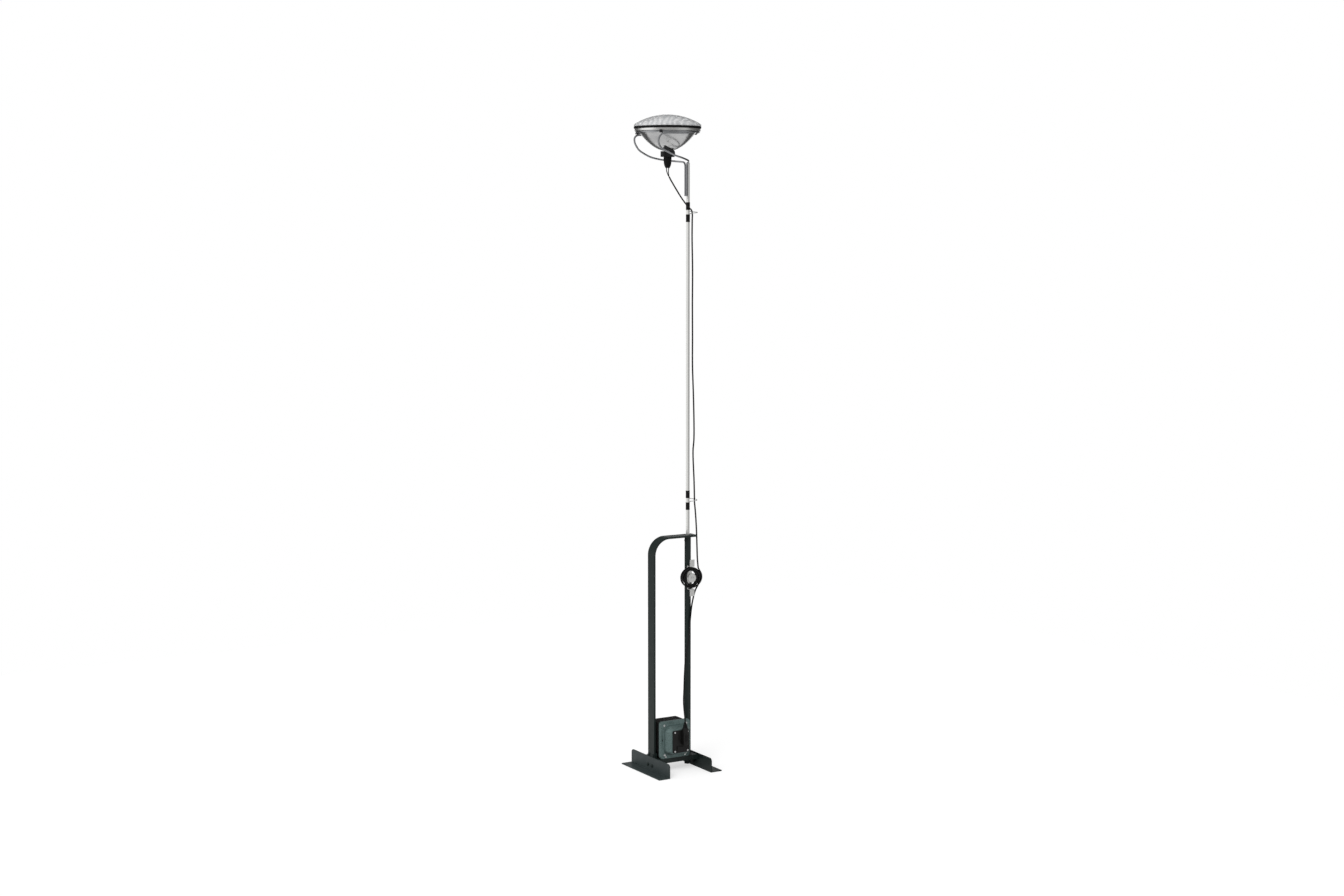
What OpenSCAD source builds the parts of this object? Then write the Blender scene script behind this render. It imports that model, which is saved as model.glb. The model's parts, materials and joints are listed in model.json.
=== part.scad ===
// Telescopic floor lamp: a sealed reflector lamp shining up from a hexagonal stem that slides
// in a post, a flat steel handle, two angle-section feet and the transformer between them.
// Millimetres, +Z up. The origin is on the floor, under the middle of the base.

/* [Feet] */
// Length of each foot, front to back
foot_len = 210; // [180:1:260]
// Height of a foot's upright web
foot_h = 40; // [36:1:60]
// Thickness of the foot's steel angle
foot_wall = 3; // [2:0.5:4]
// Width of the foot's floor flange, outside its web
foot_flange = 32; // [20:1:45]
// Corner radius of the web's upper corners
web_corner_r = 9; // [3:1:14]
// Thread of the screws through feet, handle and platform
foot_screw_d = 5; // [4:0.5:6]

/* [Platform] */
// Depth of the platform, front to back
platform_depth = 72; // [66:1:90]
// Thickness of the platform's sheet
platform_t = 3; // [2:0.5:4]
// Height of the platform's turned-down lips
platform_lip = 13; // [9:1:20]
// Height of the ear that is screwed to the handle
ear_h = 14; // [12:1:20]

/* [Handle and post] */
// Height of the handle's top above the floor
handle_h = 657; // [560:1:760]
// Width of the handle's flat strip
strip_w = 33; // [26:1:44]
// Thickness of the handle's flat strip
strip_t = 5.5; // [4:0.5:7]
// Outer radius of the handle's bend
bend_r = 50; // [40:1:80]
// How far the strip runs past the post's axis
strip_past = 20.5; // [16:0.5:40]
// Width across flats of the post's hexagonal tube
post_af = 17.5; // [16.5:0.5:20]
// Wall of the post's tube
post_wall = 2; // [1.5:0.25:2.25]
// Height of the post's lower end above the floor
post_foot = 6; // [3:1:15]
// Gap from the transformer to the post
post_gap = 4.1; // [2:0.1:10]
// Gap from the post to the foot beside it
web_gap = 2.9; // [1:0.1:8]

/* [Stem] */
// Width across flats of the sliding stem
stem_af = 10; // [8:0.5:10.5]
// Bore through the stem
stem_bore = 6; // [4:0.5:7]
// Height of the stem's top above the floor, as photographed
stem_top = 1684; // [1500:1:1800]
// How far the stem slides up from there
travel_up = 135; // [60:1:150]
// How far the stem slides down from there
travel_down = 68; // [30:1:70]
// Length of stem that stays inside the guide bush at full height
stem_hold = 20; // [10:1:60]
// Length of the guide bush at the post's mouth
bush_len = 30; // [20:1:50]
// Radial clearance of the stem in its bush
stem_clear = 0.05; // [0.02:0.01:0.1]
// Thread of the clamping screw
clamp_d = 5; // [4:0.5:6]

/* [Transformer] */
// Width of the cover's rim
trafo_w = 96; // [92:1:120]
// Height of the cover's rim
trafo_h = 105.5; // [98:0.5:120]
// Depth of the iron core
core_depth = 65; // [58:1:66]
// Depth of the rim that wraps the core
rim_depth = 9; // [6:1:14]
// Sheet thickness of the covers
cover_wall = 1.5; // [1:0.25:2]
// How far the front cover's dome stands off its rim
dome_depth = 30; // [26:1:40]
// Width and height of the dome's flat front
dome_front = [58, 67]; // [56:1:60]
// Across and up distance between the core's through bolts
core_bolts_at = [70, 83]; // [66:1:84]
// Thread of the core's through bolts
core_bolt_d = 4; // [3:0.5:5]

/* [Terminal panel] */
// Width and height of the panel
panel = [53, 63]; // [50:1:65]
// Thickness of the panel
panel_t = 2.5; // [2:0.5:4]
// Across and up distance between the panel's screws
panel_screws_at = [40.5, 53.5]; // [38:0.5:56]
// Outer width and height of the rocker switch
switch_size = [21, 15]; // [14:1:22]
// Width and height of the blind slot beside the plug
panel_slot = [2.6, 19]; // [2:0.2:22]
// Angle that the rocker tips through
rocker_tip = 16; // [8:1:18]
// Width, depth and height of the plug's body
plug_size = [14, 12, 50]; // [11:1:52]
// Length of the plug's tapered strain relief
plug_relief_l = 15; // [12:1:36]

/* [Cord winder] */
// Distance from the handle's top down to the winder's middle
winder_drop = 119; // [100:1:160]
// Width of the winder's strip
winder_w = 14.6; // [12:0.1:17]
// Thickness of the winder's strip
winder_t = 2; // [1:0.25:3]
// Height of each of the winder's tabs
tab_h = 20; // [12:1:30]
// Diameter of the winder's disc
disc_d = 26; // [18:1:27]

/* [Cord guides] */
// Height of the lower guide's eye above the handle
lower_eye_rise = 97; // [97:1:150]
// Distance from the stem's top down to the upper guide's eye
upper_eye_drop = 133; // [125:1:200]
// Outer diameter of a guide's eye
eye_d = 23; // [20:0.5:30]
// Diameter of a guide's wire
eye_wire = 2; // [1.5:0.25:2.5]
// Length of each sleeve that binds a guide to the stem
sleeve_l = 21; // [12:1:21]

/* [Lamp head] */
// Distance from the stem's axis to the lamp's axis
head_reach = 65; // [56:0.5:76]
// Height of the support ring above the stem's top
ring_rise = 82; // [76:1:96]
// How far the support ring's centreline lies inside the rubber rim
ring_inset = 6; // [5:0.5:10]
// Diameter of the chromed rod
rod_d = 5; // [4:0.5:6]
// Length of arm that lies against the stem
arm_braze = 88; // [50:1:95]
// Outer diameter of the rubber rim
lamp_d = 184; // [180:1:190]
// Height of the domed lens above the rubber rim
lens_rise = 32.7; // [26:0.1:36]
// Thickness of the lamp's glass
glass_t = 3; // [2:0.5:4]
// Depth of the reflector below the rubber rim
bowl_depth = 64; // [60:1:70]
// Width, depth and height of the lamp holder
holder_size = [40, 26, 15]; // [14:1:44]
// Length of the holder's rubber boot
boot_l = 30; // [22:1:40]

/* [Cord] */
// Width of the flat twin cord
cord_w = 5.4; // [4.5:0.1:6]
// Thickness of the flat twin cord
cord_t = 3; // [2.4:0.1:3.2]
// Diameter of each single lead at the lamp
lead_d = 2.6; // [2:0.1:3]
// Loops of cord on the winder
coil_loops = 5; // [3:1:5]

/* [Hidden] */
$fn = 48;

// clearances
fit = 0.1;          // between parts that are pushed together
seat = 0.3;         // between parts that only lie close
screw_clear = 0.2;  // added to a screw's diameter for its hole

// across the base, from the left foot to the right one
post_corner = post_af / sqrt(3);
inner_w = strip_t + platform_t + seat + trafo_w + post_gap + 2 * post_corner + web_gap;
web_in = inner_w / 2;
web_out = web_in + foot_wall;
strip_in = -web_in + strip_t;
ear_in = strip_in + platform_t;
trafo_x = ear_in + seat + trafo_w / 2;
post_x = web_in - web_gap - post_corner;

// platform and screws
platform_z = foot_h - 2;
platform_low = platform_z - platform_lip;
foot_screw_z = platform_low / 2 + 4;
lip_screw_z = platform_z - platform_t - 5;
ear_screw_z = platform_z + ear_h / 2;
ear_screw_y = strip_w / 3;
lip_screw_y = platform_depth / 2 - 20;
nut_t = 3.2;

// post and stem
post_top = handle_h - strip_t;
tube_af = post_af - 2 * post_wall;
bush_low = post_top - bush_len;
clamp_z = post_top - 12;
clamp_nut_t = 3.2;
clamp_nut_d = clamp_d + 4;
stem_spare = 40;
stem_low = bush_low + stem_hold - travel_up - stem_spare;
slider_l = 20;
stem_corner = stem_af / sqrt(3);
cap_t = 2;

// transformer
trafo_z = platform_z + trafo_h / 2;
core_gap = 1;
core_w = trafo_w - 2 * cover_wall - 2 * core_gap - 1.5;
core_low = platform_z + cover_wall + core_gap;
core_h = platform_z + trafo_h - 5.5 - core_low;
core_z = core_low + core_h / 2;
rim_face = -37;
core_front = rim_face + cover_wall + 0.5;
core_back = core_front + core_depth;
dome_y = rim_face - dome_depth;
rim_r = 8;
dome_base = [trafo_w - 20, trafo_h - 21.5];
dome_r = 20;
vent_d = 3.5;
vent_x = trafo_w / 2 - 7;
leg_w = core_w / 3;
window_w = core_w / 6;
window_h = core_h / 2;
winding_out = 12;
back_depth = 26;
back_base = dome_base - [0, 4];
back_front = dome_front - [0, 5];
cover_screw_d = core_bolt_d - 1;
cover_screw_x = core_bolts_at[0] / 2 - 4;
cover_screw_z = core_low + 3;

// panel
panel_y = dome_y - panel_t;
switch_x = trafo_x - 4.2;
switch_z = trafo_z - panel[1] / 2 + switch_size[1] / 2 + 4.75;
slot_x = trafo_x - 8;
slot_z = trafo_z + 13.7;
slot_deep = 0.7 * panel_t;
plug_x = trafo_x + 8.1;
plug_z = switch_z + (switch_size[1] + plug_size[2]) / 2 + 1.5;
plug_y = panel_y - 1.3;
plug_mid_y = plug_y - plug_size[1] / 2;
plug_top = plug_z + plug_size[2] / 2;
relief_top = plug_top + plug_relief_l;
pin_d = 3;
pin_at = 5;

// winder
winder_z = handle_h - winder_drop;
post_face = -post_af / 2;
coil_layer = cord_w + 0.5;
coil_back = post_face - winder_t - 0.4 - cord_w / 2;
coil_front = coil_back - coil_layer;
disc_y = coil_front - cord_w / 2 - 0.6;
tab_y = disc_y;
disc_t = 2.5;
spool_d = 16;
coil_in = [15.5, 19.5];
coil_grow = [7.3, 3.75];
coil_start = 35;
coil_end = -30;
coil_turns = coil_loops + (coil_start - coil_end) / 360;
coil_rings = 24;
coil_reach = coil_in + coil_grow * coil_turns / 2;
tab_from = coil_reach[1] + cord_t / 2 + 0.6;

// guides
lower_eye = handle_h + lower_eye_rise;
upper_eye = stem_top - upper_eye_drop;
foot_wire = (stem_af / 2 + eye_wire / 2 + fit) * [cos(30), sin(30)];
eye_r = (eye_d - eye_wire) / 2;
eye_x = stem_corner + eye_wire / 2 + 0.6 + eye_r;
eye_pitch = 3.4;      // how far the eye's wire rises from its middle, and falls
sleeve_from = 6;
wire_straight = 0.8;  // length of straight wire between a sleeve and the bend to the eye
sleeve_wall = 0.6;

// lamp head
lamp_x = post_x - head_reach;
ring_r = lamp_d / 2 - ring_inset;
ring_z = stem_top + ring_rise;
rim_low = ring_z + rod_d / 2;
rim_h = 8;
gasket_low = rim_low + rim_h;
gasket_h = 5;
lamp_r = lamp_d / 2 - 3;
bowl_r = lamp_r - 4;
bowl_top = gasket_low + 3;
seat_low = bowl_top + 1.5;
bowl_low = bowl_top - bowl_depth;
lens_low = gasket_low + gasket_h;
lens_edge = 4;
lens_r = lamp_d / 2;
holder_top = bowl_low - 0.3;
boot_top = holder_top - holder_size[2];
boot_low = boot_top - boot_l;
prong = [7, 1.5, 9];
clip_angles = [0, 132, 228];

// the cord's route, point by point, from the lamp down to the transformer
leads_join = [lamp_x + 6.5, -1, 1643];
upper_points = [
  [2, -2.5, 1630], [12.5, -4.5, 1613], [25.5, -7.5, 1592.5], [37.5, -11, 1575.5],
  [49.5, -11.5, 1563.5], [60.5, -6.5, 1556], [65.5, -2.5, 1545], [65.5, -2, 1526],
  [64, -4, 1475], [65, -5, 1390], [64.5, -5, 1300], [65, -5, 1210], [65, -5, 1130],
  [68, -5, 1050], [70, -5, 975], [70, -5, 925], [67, -5, 885], [71, -4, 810]
];
eye_pass = [73, -3, 754];
riser_points = [[74.8, -6, 715], [75.8, -9.5, 670], [76.3, -11.5, 625], [75.2, -15.5, 590]];
lower_points = [
  [70, -13.7, 501], [64, -13, 482], [58, -12.4, 452], [53, -12.5, 410], [47, -13.5, 360],
  [36.5, -17, 315], [25, -30, 272], [12.5, -48, 232], [0.5, -66, 196]
];
leads_down = unit([0.5, 0, -0.85]);
leads_apart = 3.4;
eye_slip = 0.5;

// ---- shapes that are used again ----

module hex(af) { circle(d = af * 2 / sqrt(3), $fn = 6); }

module round_rect(size, r) {
  square([size[0] - 2 * r, size[1]], center = true);
  square([size[0], size[1] - 2 * r], center = true);
  for (x = [-1, 1], y = [-1, 1]) translate([x * (size[0] / 2 - r), y * (size[1] / 2 - r)]) circle(r);
}

// a plate in the XZ plane whose front face is at y and which is t thick, going back
module plate_xz(y, t) { translate([0, y + t, 0]) rotate([90, 0, 0]) linear_extrude(t) children(); }

// a screw along +Z: its head's underside is at 0, its shank goes down
module screw(d, l, head_d, head_h) {
  difference() {
    union() {
      cylinder(d = head_d, h = head_h * 0.6);
      translate([0, 0, head_h * 0.6]) cylinder(d1 = head_d, d2 = head_d * 0.6, h = head_h * 0.4);
      translate([0, 0, -l]) cylinder(d = d, h = l);
    }
    translate([0, 0, head_h]) cube([head_d * 1.2, 0.9, 1.6], center = true);
  }
}

// a nut along +Z from 0, round its bolt
module nut(d, t) {
  difference() {
    linear_extrude(t) hex(d * 1.75);
    translate([0, 0, -1]) cylinder(d = d + fit, h = t + 2);
  }
}

function unit(v) = v / norm(v);

// a point between b and c on the smooth curve through a, b, c and d
function curve_at(a, b, c, d, t) =
  0.5 * (2 * b + (c - a) * t + (2 * a - 5 * b + 4 * c - d) * t * t
         + (3 * b - a - 3 * c + d) * t * t * t);

function smooth(p, steps) = concat(
  [for (i = [0 : len(p) - 2], s = [0 : steps - 1])
     curve_at(p[max(i - 1, 0)], p[i], p[i + 1], p[min(i + 2, len(p) - 1)], s / steps)],
  [p[len(p) - 1]]);

function heading(p, i) = unit(p[min(i + 1, len(p) - 1)] - p[max(i - 1, 0)]);

// one ring of a tube: section points set square to the route, their second axis along side
function tube_ring(p, i, section, side) =
  let (t = heading(p, i), w = unit(side - (side * t) * t), n = cross(w, t))
  [for (s = section) p[i] + s[0] * n + s[1] * w];

module tube(p, section, side = [0, 1, 0]) {
  n = len(section);
  m = len(p);
  polyhedron(
    points = [for (i = [0 : m - 1]) each tube_ring(p, i, section, side)],
    faces = concat(
      [for (k = [1 : n - 2]) [0, k, k + 1]],
      [for (i = [0 : m - 2], k = [0 : n - 1]) each
         let (a = i * n + k, b = i * n + (k + 1) % n) [[a, a + n, b + n], [a, b + n, b]]],
      [for (k = [1 : n - 2]) [(m - 1) * n, (m - 1) * n + k + 1, (m - 1) * n + k]]));
}

function round_section(d, sides) = [for (k = [0 : sides - 1])
  d / 2 * [cos(360 * (k + 0.5) / sides), sin(360 * (k + 0.5) / sides)]];

// the flat cord's outline: half circles of its thickness, apart by the rest of its width
function flat_section(sides) = [for (k = [0 : sides - 1])
  let (a = 360 * (k + 0.5) / sides)
  [cord_t / 2 * cos(a), cord_t / 2 * sin(a) + (cord_w - cord_t) / 2 * sign(sin(a))]];

// ---- feet and platform ----

module web_profile() {
  difference() {
    square([foot_len, foot_h]);
    for (y = [0, foot_len]) translate([y, foot_h]) difference() {
      square(2 * web_corner_r, center = true);
      translate([y > 0 ? -web_corner_r : web_corner_r, -web_corner_r]) circle(web_corner_r);
    }
  }
}

// the foot on the right; the one on the left mirrors it
module foot_angle() {
  translate([web_in, -foot_len / 2, 0]) {
    rotate([90, 0, 90]) linear_extrude(foot_wall) web_profile();
    cube([foot_wall + foot_flange, foot_len, foot_wall]);
  }
}

module across_holes(x, t, ys, z, d) {
  for (y = ys) translate([x - 1, y, z]) rotate([0, 90, 0]) cylinder(d = d + screw_clear, h = t + 2);
}

module left_foot() {
  color([0.17, 0.21, 0.2]) difference() {
    mirror([1, 0, 0]) foot_angle();
    across_holes(-web_out, foot_wall, [-ear_screw_y, ear_screw_y], foot_screw_z, foot_screw_d);
  }
}

module right_foot() {
  color([0.15, 0.19, 0.18]) difference() {
    foot_angle();
    across_holes(web_in, foot_wall, [-lip_screw_y, lip_screw_y], lip_screw_z, foot_screw_d);
  }
}

module platform() {
  right = web_in;
  left = strip_in;
  color([0.13, 0.17, 0.16]) difference() {
    union() {
      translate([left, -platform_depth / 2, platform_z - platform_t])
        cube([right - left, platform_depth, platform_t]);
      for (y = [-platform_depth / 2, platform_depth / 2 - platform_t])
        translate([left, y, platform_low]) cube([right - left, platform_t, platform_lip]);
      translate([right - platform_t, -platform_depth / 2, platform_low])
        cube([platform_t, platform_depth, platform_lip]);
      translate([left, -strip_w / 2 - 2, platform_z - platform_t])
        cube([platform_t, strip_w + 4, ear_h + platform_t]);
    }
    translate([post_x, 0, platform_low]) linear_extrude(platform_lip + 1) hex(post_af + 2 * fit);
    across_holes(left, platform_t, [-ear_screw_y, ear_screw_y], ear_screw_z, foot_screw_d);
    across_holes(right - platform_t, platform_t, [-lip_screw_y, lip_screw_y], lip_screw_z,
                 foot_screw_d);
    packer_spots() translate([0, 0, -1]) cylinder(d = core_bolt_d + screw_clear, h = platform_t + 2);
  }
}

module foot_screws() {
  color([0.75, 0.75, 0.75]) {
    for (y = [-ear_screw_y, ear_screw_y]) {
      translate([-web_out, y, foot_screw_z]) rotate([0, -90, 0])
        screw(foot_screw_d, foot_wall + strip_t + nut_t + 1, foot_screw_d * 1.8, 2);
      translate([strip_in, y, foot_screw_z]) rotate([0, 90, 0]) nut(foot_screw_d, nut_t);
    }
    for (y = [-lip_screw_y, lip_screw_y]) {
      translate([web_out, y, lip_screw_z]) rotate([0, 90, 0])
        screw(foot_screw_d, foot_wall + platform_t + nut_t + 1, foot_screw_d * 1.8, 2);
      translate([web_in - platform_t, y, lip_screw_z]) rotate([0, -90, 0]) nut(foot_screw_d, nut_t);
    }
  }
}

module handle_screws() {
  color([0.82, 0.82, 0.82]) for (y = [-ear_screw_y, ear_screw_y]) {
    translate([-web_in, y, ear_screw_z]) rotate([0, -90, 0])
      screw(foot_screw_d, strip_t + platform_t + nut_t, foot_screw_d * 1.8, 2);
    translate([ear_in, y, ear_screw_z]) rotate([0, 90, 0]) nut(foot_screw_d, nut_t);
  }
}

// ---- handle and post ----

module handle_profile() {
  top_l = post_x + strip_past + web_in;
  difference() {
    union() {
      translate([0, foot_wall + 1]) square([strip_t, handle_h - bend_r - foot_wall - 1]);
      translate([bend_r, handle_h - strip_t]) square([top_l - bend_r, strip_t]);
      translate([bend_r, handle_h - bend_r]) intersection() {
        circle(bend_r, $fn = 96);
        translate([-bend_r, 0]) square(bend_r);
      }
    }
    translate([bend_r, handle_h - bend_r]) intersection() {
      circle(bend_r - strip_t, $fn = 96);
      translate([-bend_r, -1]) square(bend_r + 1);
    }
  }
}

module handle() {
  color([0.18, 0.22, 0.21]) difference() {
    translate([-web_in, strip_w / 2, 0]) rotate([90, 0, 0]) linear_extrude(strip_w) handle_profile();
    across_holes(-web_in, strip_t, [-ear_screw_y, ear_screw_y], foot_screw_z, foot_screw_d);
    across_holes(-web_in, strip_t, [-ear_screw_y, ear_screw_y], ear_screw_z, foot_screw_d);
    translate([post_x, 0, post_top - 1]) cylinder(r = stem_corner + 0.5, h = strip_t + 2);
  }
}

module post() {
  color([0.13, 0.16, 0.15]) difference() {
    translate([post_x, 0, post_foot]) linear_extrude(post_top - post_foot) hex(post_af);
    translate([post_x, 0, post_foot - 1]) linear_extrude(post_top - post_foot + 2) hex(tube_af);
    clamp_hole(clamp_d + 1);
    winder_screw_hole();
  }
}

module clamp_hole(d) {
  translate([post_x, 0, clamp_z]) rotate([-90, 0, 0]) cylinder(d = d, h = post_af);
}

module post_bush() {
  color([0.72, 0.6, 0.3]) difference() {
    translate([post_x, 0, bush_low]) linear_extrude(bush_len) hex(tube_af - 2 * fit);
    translate([post_x, 0, bush_low - 1]) linear_extrude(bush_len + 2) hex(stem_af + 2 * stem_clear);
    clamp_hole(clamp_d + 1);
  }
}

module clamp_nut() {
  color([0.13, 0.16, 0.15]) difference() {
    translate([post_x, post_af / 2, clamp_z]) rotate([-90, 0, 0])
      cylinder(d = clamp_nut_d, h = clamp_nut_t);
    clamp_hole(clamp_d + 2 * 0.05);
  }
}

module clamp_screw() {
  tip = stem_af / 2 + 0.1;
  out = post_af / 2 + clamp_nut_t + 0.6;
  color([0.2, 0.2, 0.2]) translate([post_x, tip, clamp_z]) rotate([-90, 0, 0]) difference() {
    cylinder(d = clamp_d, h = out - tip);
    translate([0, 0, out - tip - 2]) linear_extrude(3) hex(clamp_d / 2);
  }
}

// ---- transformer ----

module at_corners(size) {
  for (x = [-1, 1], z = [-1, 1]) translate([trafo_x + x * size[0] / 2, 0, trafo_z + z * size[1] / 2])
    children();
}

module bolt_holes(d, y0, y1) {
  at_corners(core_bolts_at) translate([0, y0, 0]) rotate([-90, 0, 0])
    cylinder(d = d + screw_clear, h = y1 - y0);
}

module packer_spots() {
  for (x = [-1, 1], y = [-1, 1])
    translate([trafo_x + x * core_w / 3, y * 18, platform_z - platform_t]) children();
}

module core_packer() {
  y0 = rim_face + rim_depth + 1;
  color([0.1, 0.1, 0.1]) difference() {
    translate([trafo_x - core_w / 2, y0, platform_z])
      cube([core_w, core_back - y0, core_low - platform_z]);
    packer_spots() cylinder(d = core_bolt_d + screw_clear, h = platform_t + core_low);
  }
}

module packer_screws() {
  color([0.75, 0.75, 0.75]) packer_spots() rotate([180, 0, 0])
    screw(core_bolt_d, platform_t + core_low - platform_z + 8, core_bolt_d * 1.9, 2.4);
}

module transformer_core() {
  color([0.08, 0.08, 0.08]) difference() {
    translate([trafo_x, 0, core_z]) plate_xz(core_front, core_depth)
      round_rect([core_w, core_h], 3);
    for (s = [-1, 1])
      translate([trafo_x + s * (leg_w + window_w) / 2 - window_w / 2, core_front - 1,
                 core_z - window_h / 2])
        cube([window_w, core_depth + 2, window_h]);
    bolt_holes(core_bolt_d, core_front - 1, core_back + 1);
    packer_spots() cylinder(d = core_bolt_d + screw_clear,
                            h = platform_t + core_low - platform_z + 9);
    cover_screw_spots() cylinder(d = cover_screw_d + screw_clear, h = 12);
  }
}

module transformer_winding() {
  out = [leg_w + 2 * window_w - 1, core_depth + 2 * winding_out];
  color([0.7, 0.4, 0.15]) difference() {
    translate([trafo_x, (core_front + core_back) / 2, core_z - window_h / 2 + 0.5])
      linear_extrude(window_h - 1) round_rect(out, 6);
    translate([trafo_x - leg_w / 2 - 0.5, core_front - 0.5, core_z - window_h])
      cube([leg_w + 1, core_depth + 1, 2 * window_h]);
  }
}

// the dome's outer form, drawn in by a wall
module dome_form(in) {
  base = dome_base - 2 * [in, in];
  front = dome_front - 2 * [in, in];
  translate([trafo_x, 0, trafo_z]) hull() {
    plate_xz(rim_face - 0.1 + in, 0.1) round_rect(base, dome_r, $fn = 32);
    plate_xz(rim_face - dome_depth * 0.9 + in, 0.1)
      round_rect(front + [4, 4], 9, $fn = 32);
    plate_xz(dome_y + in, 0.1) round_rect(front, 7, $fn = 32);
  }
}

module cover_screw_spots() {
  for (s = [-1, 1]) translate([trafo_x + s * cover_screw_x, rim_face, cover_screw_z])
    rotate([-90, 0, 0]) children();
}

module front_cover() {
  rim = [trafo_w, trafo_h];
  color([0.45, 0.55, 0.53]) difference() {
    union() {
      difference() {
        translate([trafo_x, 0, trafo_z]) plate_xz(rim_face, rim_depth) round_rect(rim, rim_r);
        translate([trafo_x, 0, trafo_z]) plate_xz(rim_face + cover_wall, rim_depth)
          round_rect(rim - 2 * cover_wall * [1, 1], rim_r - cover_wall);
      }
      dome_form(0);
    }
    dome_form(cover_wall);
    translate([trafo_x, 0, trafo_z]) plate_xz(rim_face - 1, cover_wall + 2)
      round_rect(dome_base - 2 * cover_wall * [1, 1], dome_r - cover_wall);
    bolt_holes(core_bolt_d, rim_face - 1, rim_face + 3);
    cover_screw_spots() translate([0, 0, -1]) cylinder(d = cover_screw_d + screw_clear, h = 4);
    for (s = [-1, 1]) translate([trafo_x + s * vent_x, rim_face - 1, trafo_z]) rotate([-90, 0, 0])
      cylinder(d = vent_d, h = 4);
    panel_holes(panel_screw_d = 3, y0 = dome_y - 1, y1 = dome_y + 4);
    switch_cut(dome_y - 1, 4);
    inlet_cut(dome_y - 1, 4);
  }
}

module back_cover() {
  size = [core_w, core_h];
  color([0.1, 0.11, 0.11]) difference() {
    translate([trafo_x, 0, core_z]) union() {
      plate_xz(core_back + 0.1, cover_wall) round_rect(size, 5);
      back_form(0);
    }
    translate([trafo_x, 0, core_z]) back_form(cover_wall);
    bolt_holes(core_bolt_d, core_back - 1, core_back + 4);
    gland_spot() cylinder(d = gland_d + screw_clear, h = 8, center = true);
  }
}

module back_form(in) {
  hull() {
    plate_xz(core_back + 0.1 - in, 0.1) round_rect(back_base - 2 * [in, in], 18, $fn = 32);
    plate_xz(core_back + back_depth - in, 0.1) round_rect(back_front - 2 * [in, in], 8, $fn = 32);
  }
}

gland_d = 10;
module gland_spot() {
  translate([trafo_x + 12, core_back + back_depth, core_z - 16]) rotate([-90, 0, 0]) children();
}

module mains_gland() {
  color([0.07, 0.07, 0.07]) gland_spot() difference() {
    union() {
      translate([0, 0, -6]) cylinder(d = gland_d, h = 8);
      translate([0, 0, 0.2]) linear_extrude(4) hex(15);
      translate([0, 0, 4.2]) cylinder(d1 = 13, d2 = 9.5, h = 9);
      translate([0, 0, -5]) linear_extrude(3.2) hex(14);
    }
    translate([0, 0, -7]) cylinder(d = 6.6, h = 24);
  }
}

module core_bolts() {
  color([0.85, 0.85, 0.85]) at_corners(core_bolts_at) {
    translate([0, rim_face, 0]) rotate([90, 0, 0])
      screw(core_bolt_d, core_back + cover_wall + nut_t + 1 - rim_face, core_bolt_d * 1.8, 2.6);
    translate([0, core_back + 0.1 + cover_wall, 0]) rotate([-90, 0, 0]) nut(core_bolt_d, nut_t);
  }
}

module cover_screws() {
  color([0.85, 0.85, 0.85]) cover_screw_spots() rotate([180, 0, 0])
    screw(cover_screw_d, 9, cover_screw_d * 1.8, 2);
}

// ---- terminal panel ----

module panel_holes(panel_screw_d, y0, y1) {
  at_corners(panel_screws_at) translate([0, y0, 0]) rotate([-90, 0, 0])
    cylinder(d = panel_screw_d + screw_clear, h = y1 - y0);
}

module switch_cut(y, l) {
  translate([switch_x, y + l, switch_z]) rotate([90, 0, 0]) linear_extrude(l)
    square([switch_size[0] - 2 + 2 * fit, switch_size[1] - 2 + 2 * fit], center = true);
}

module inlet_cut(y, l) {
  translate([plug_x, y + l, plug_z]) rotate([90, 0, 0]) linear_extrude(l)
    round_rect([plug_size[0] - 4 + 2 * fit, plug_size[2] - 22 + 2 * fit], 3);
}

module terminal_panel() {
  color([0.1, 0.1, 0.1]) difference() {
    translate([trafo_x, 0, trafo_z]) plate_xz(panel_y, panel_t) round_rect(panel, 4);
    panel_holes(panel_screw_d = 3, y0 = panel_y - 1, y1 = dome_y + 1);
    switch_cut(panel_y - 1, panel_t + 2);
    inlet_cut(panel_y - 1, panel_t + 2);
    translate([slot_x, 0, slot_z]) plate_xz(panel_y - 1, slot_deep + 1) round_rect(panel_slot, 1);
  }
}

module panel_screws() {
  color([0.85, 0.85, 0.85]) at_corners(panel_screws_at) translate([0, panel_y, 0])
    rotate([90, 0, 0]) screw(3, panel_t + cover_wall + 2, 5.6, 2);
}

rocker = [switch_size[0] - 5.2, switch_size[1] - 3.4];
module switch_body() {
  frame_t = 1.2;
  color([0.06, 0.06, 0.06]) difference() {
    union() {
      translate([switch_x, 0, switch_z]) plate_xz(panel_y - frame_t, frame_t) round_rect(switch_size, 1.5);
      switch_body_block();
    }
    translate([switch_x - rocker[0] / 2 - 0.9, panel_y - frame_t - 1, switch_z - rocker[1] / 2 - 0.2])
      cube([rocker[0] + 1.8, 8.2, rocker[1] + 0.4]);
    translate([switch_x, panel_y + 1, switch_z]) cylinder(r = 1.25, h = rocker[1] + 1.8, center = true);
  }
}

module switch_body_block() {
  translate([switch_x, panel_y + 12, switch_z]) rotate([90, 0, 0]) linear_extrude(12)
    square([switch_size[0] - 2, switch_size[1] - 2], center = true);
}

module switch_rocker() {
  w = rocker[0] / 2;
  color([0.05, 0.05, 0.05]) translate([switch_x, panel_y + 1, switch_z]) rotate([0, 0, -rocker_tip / 2]) {
    translate([0, 0, -rocker[1] / 2]) linear_extrude(rocker[1])
      polygon([[-w, -4.6], [0, -3.4], [w, -4.6], [w, -0.6], [1.6, 2.6], [-1.6, 2.6], [-w, -0.6]]);
    cylinder(r = 1.2, h = rocker[1] + 1.6, center = true);
  }
}

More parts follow.
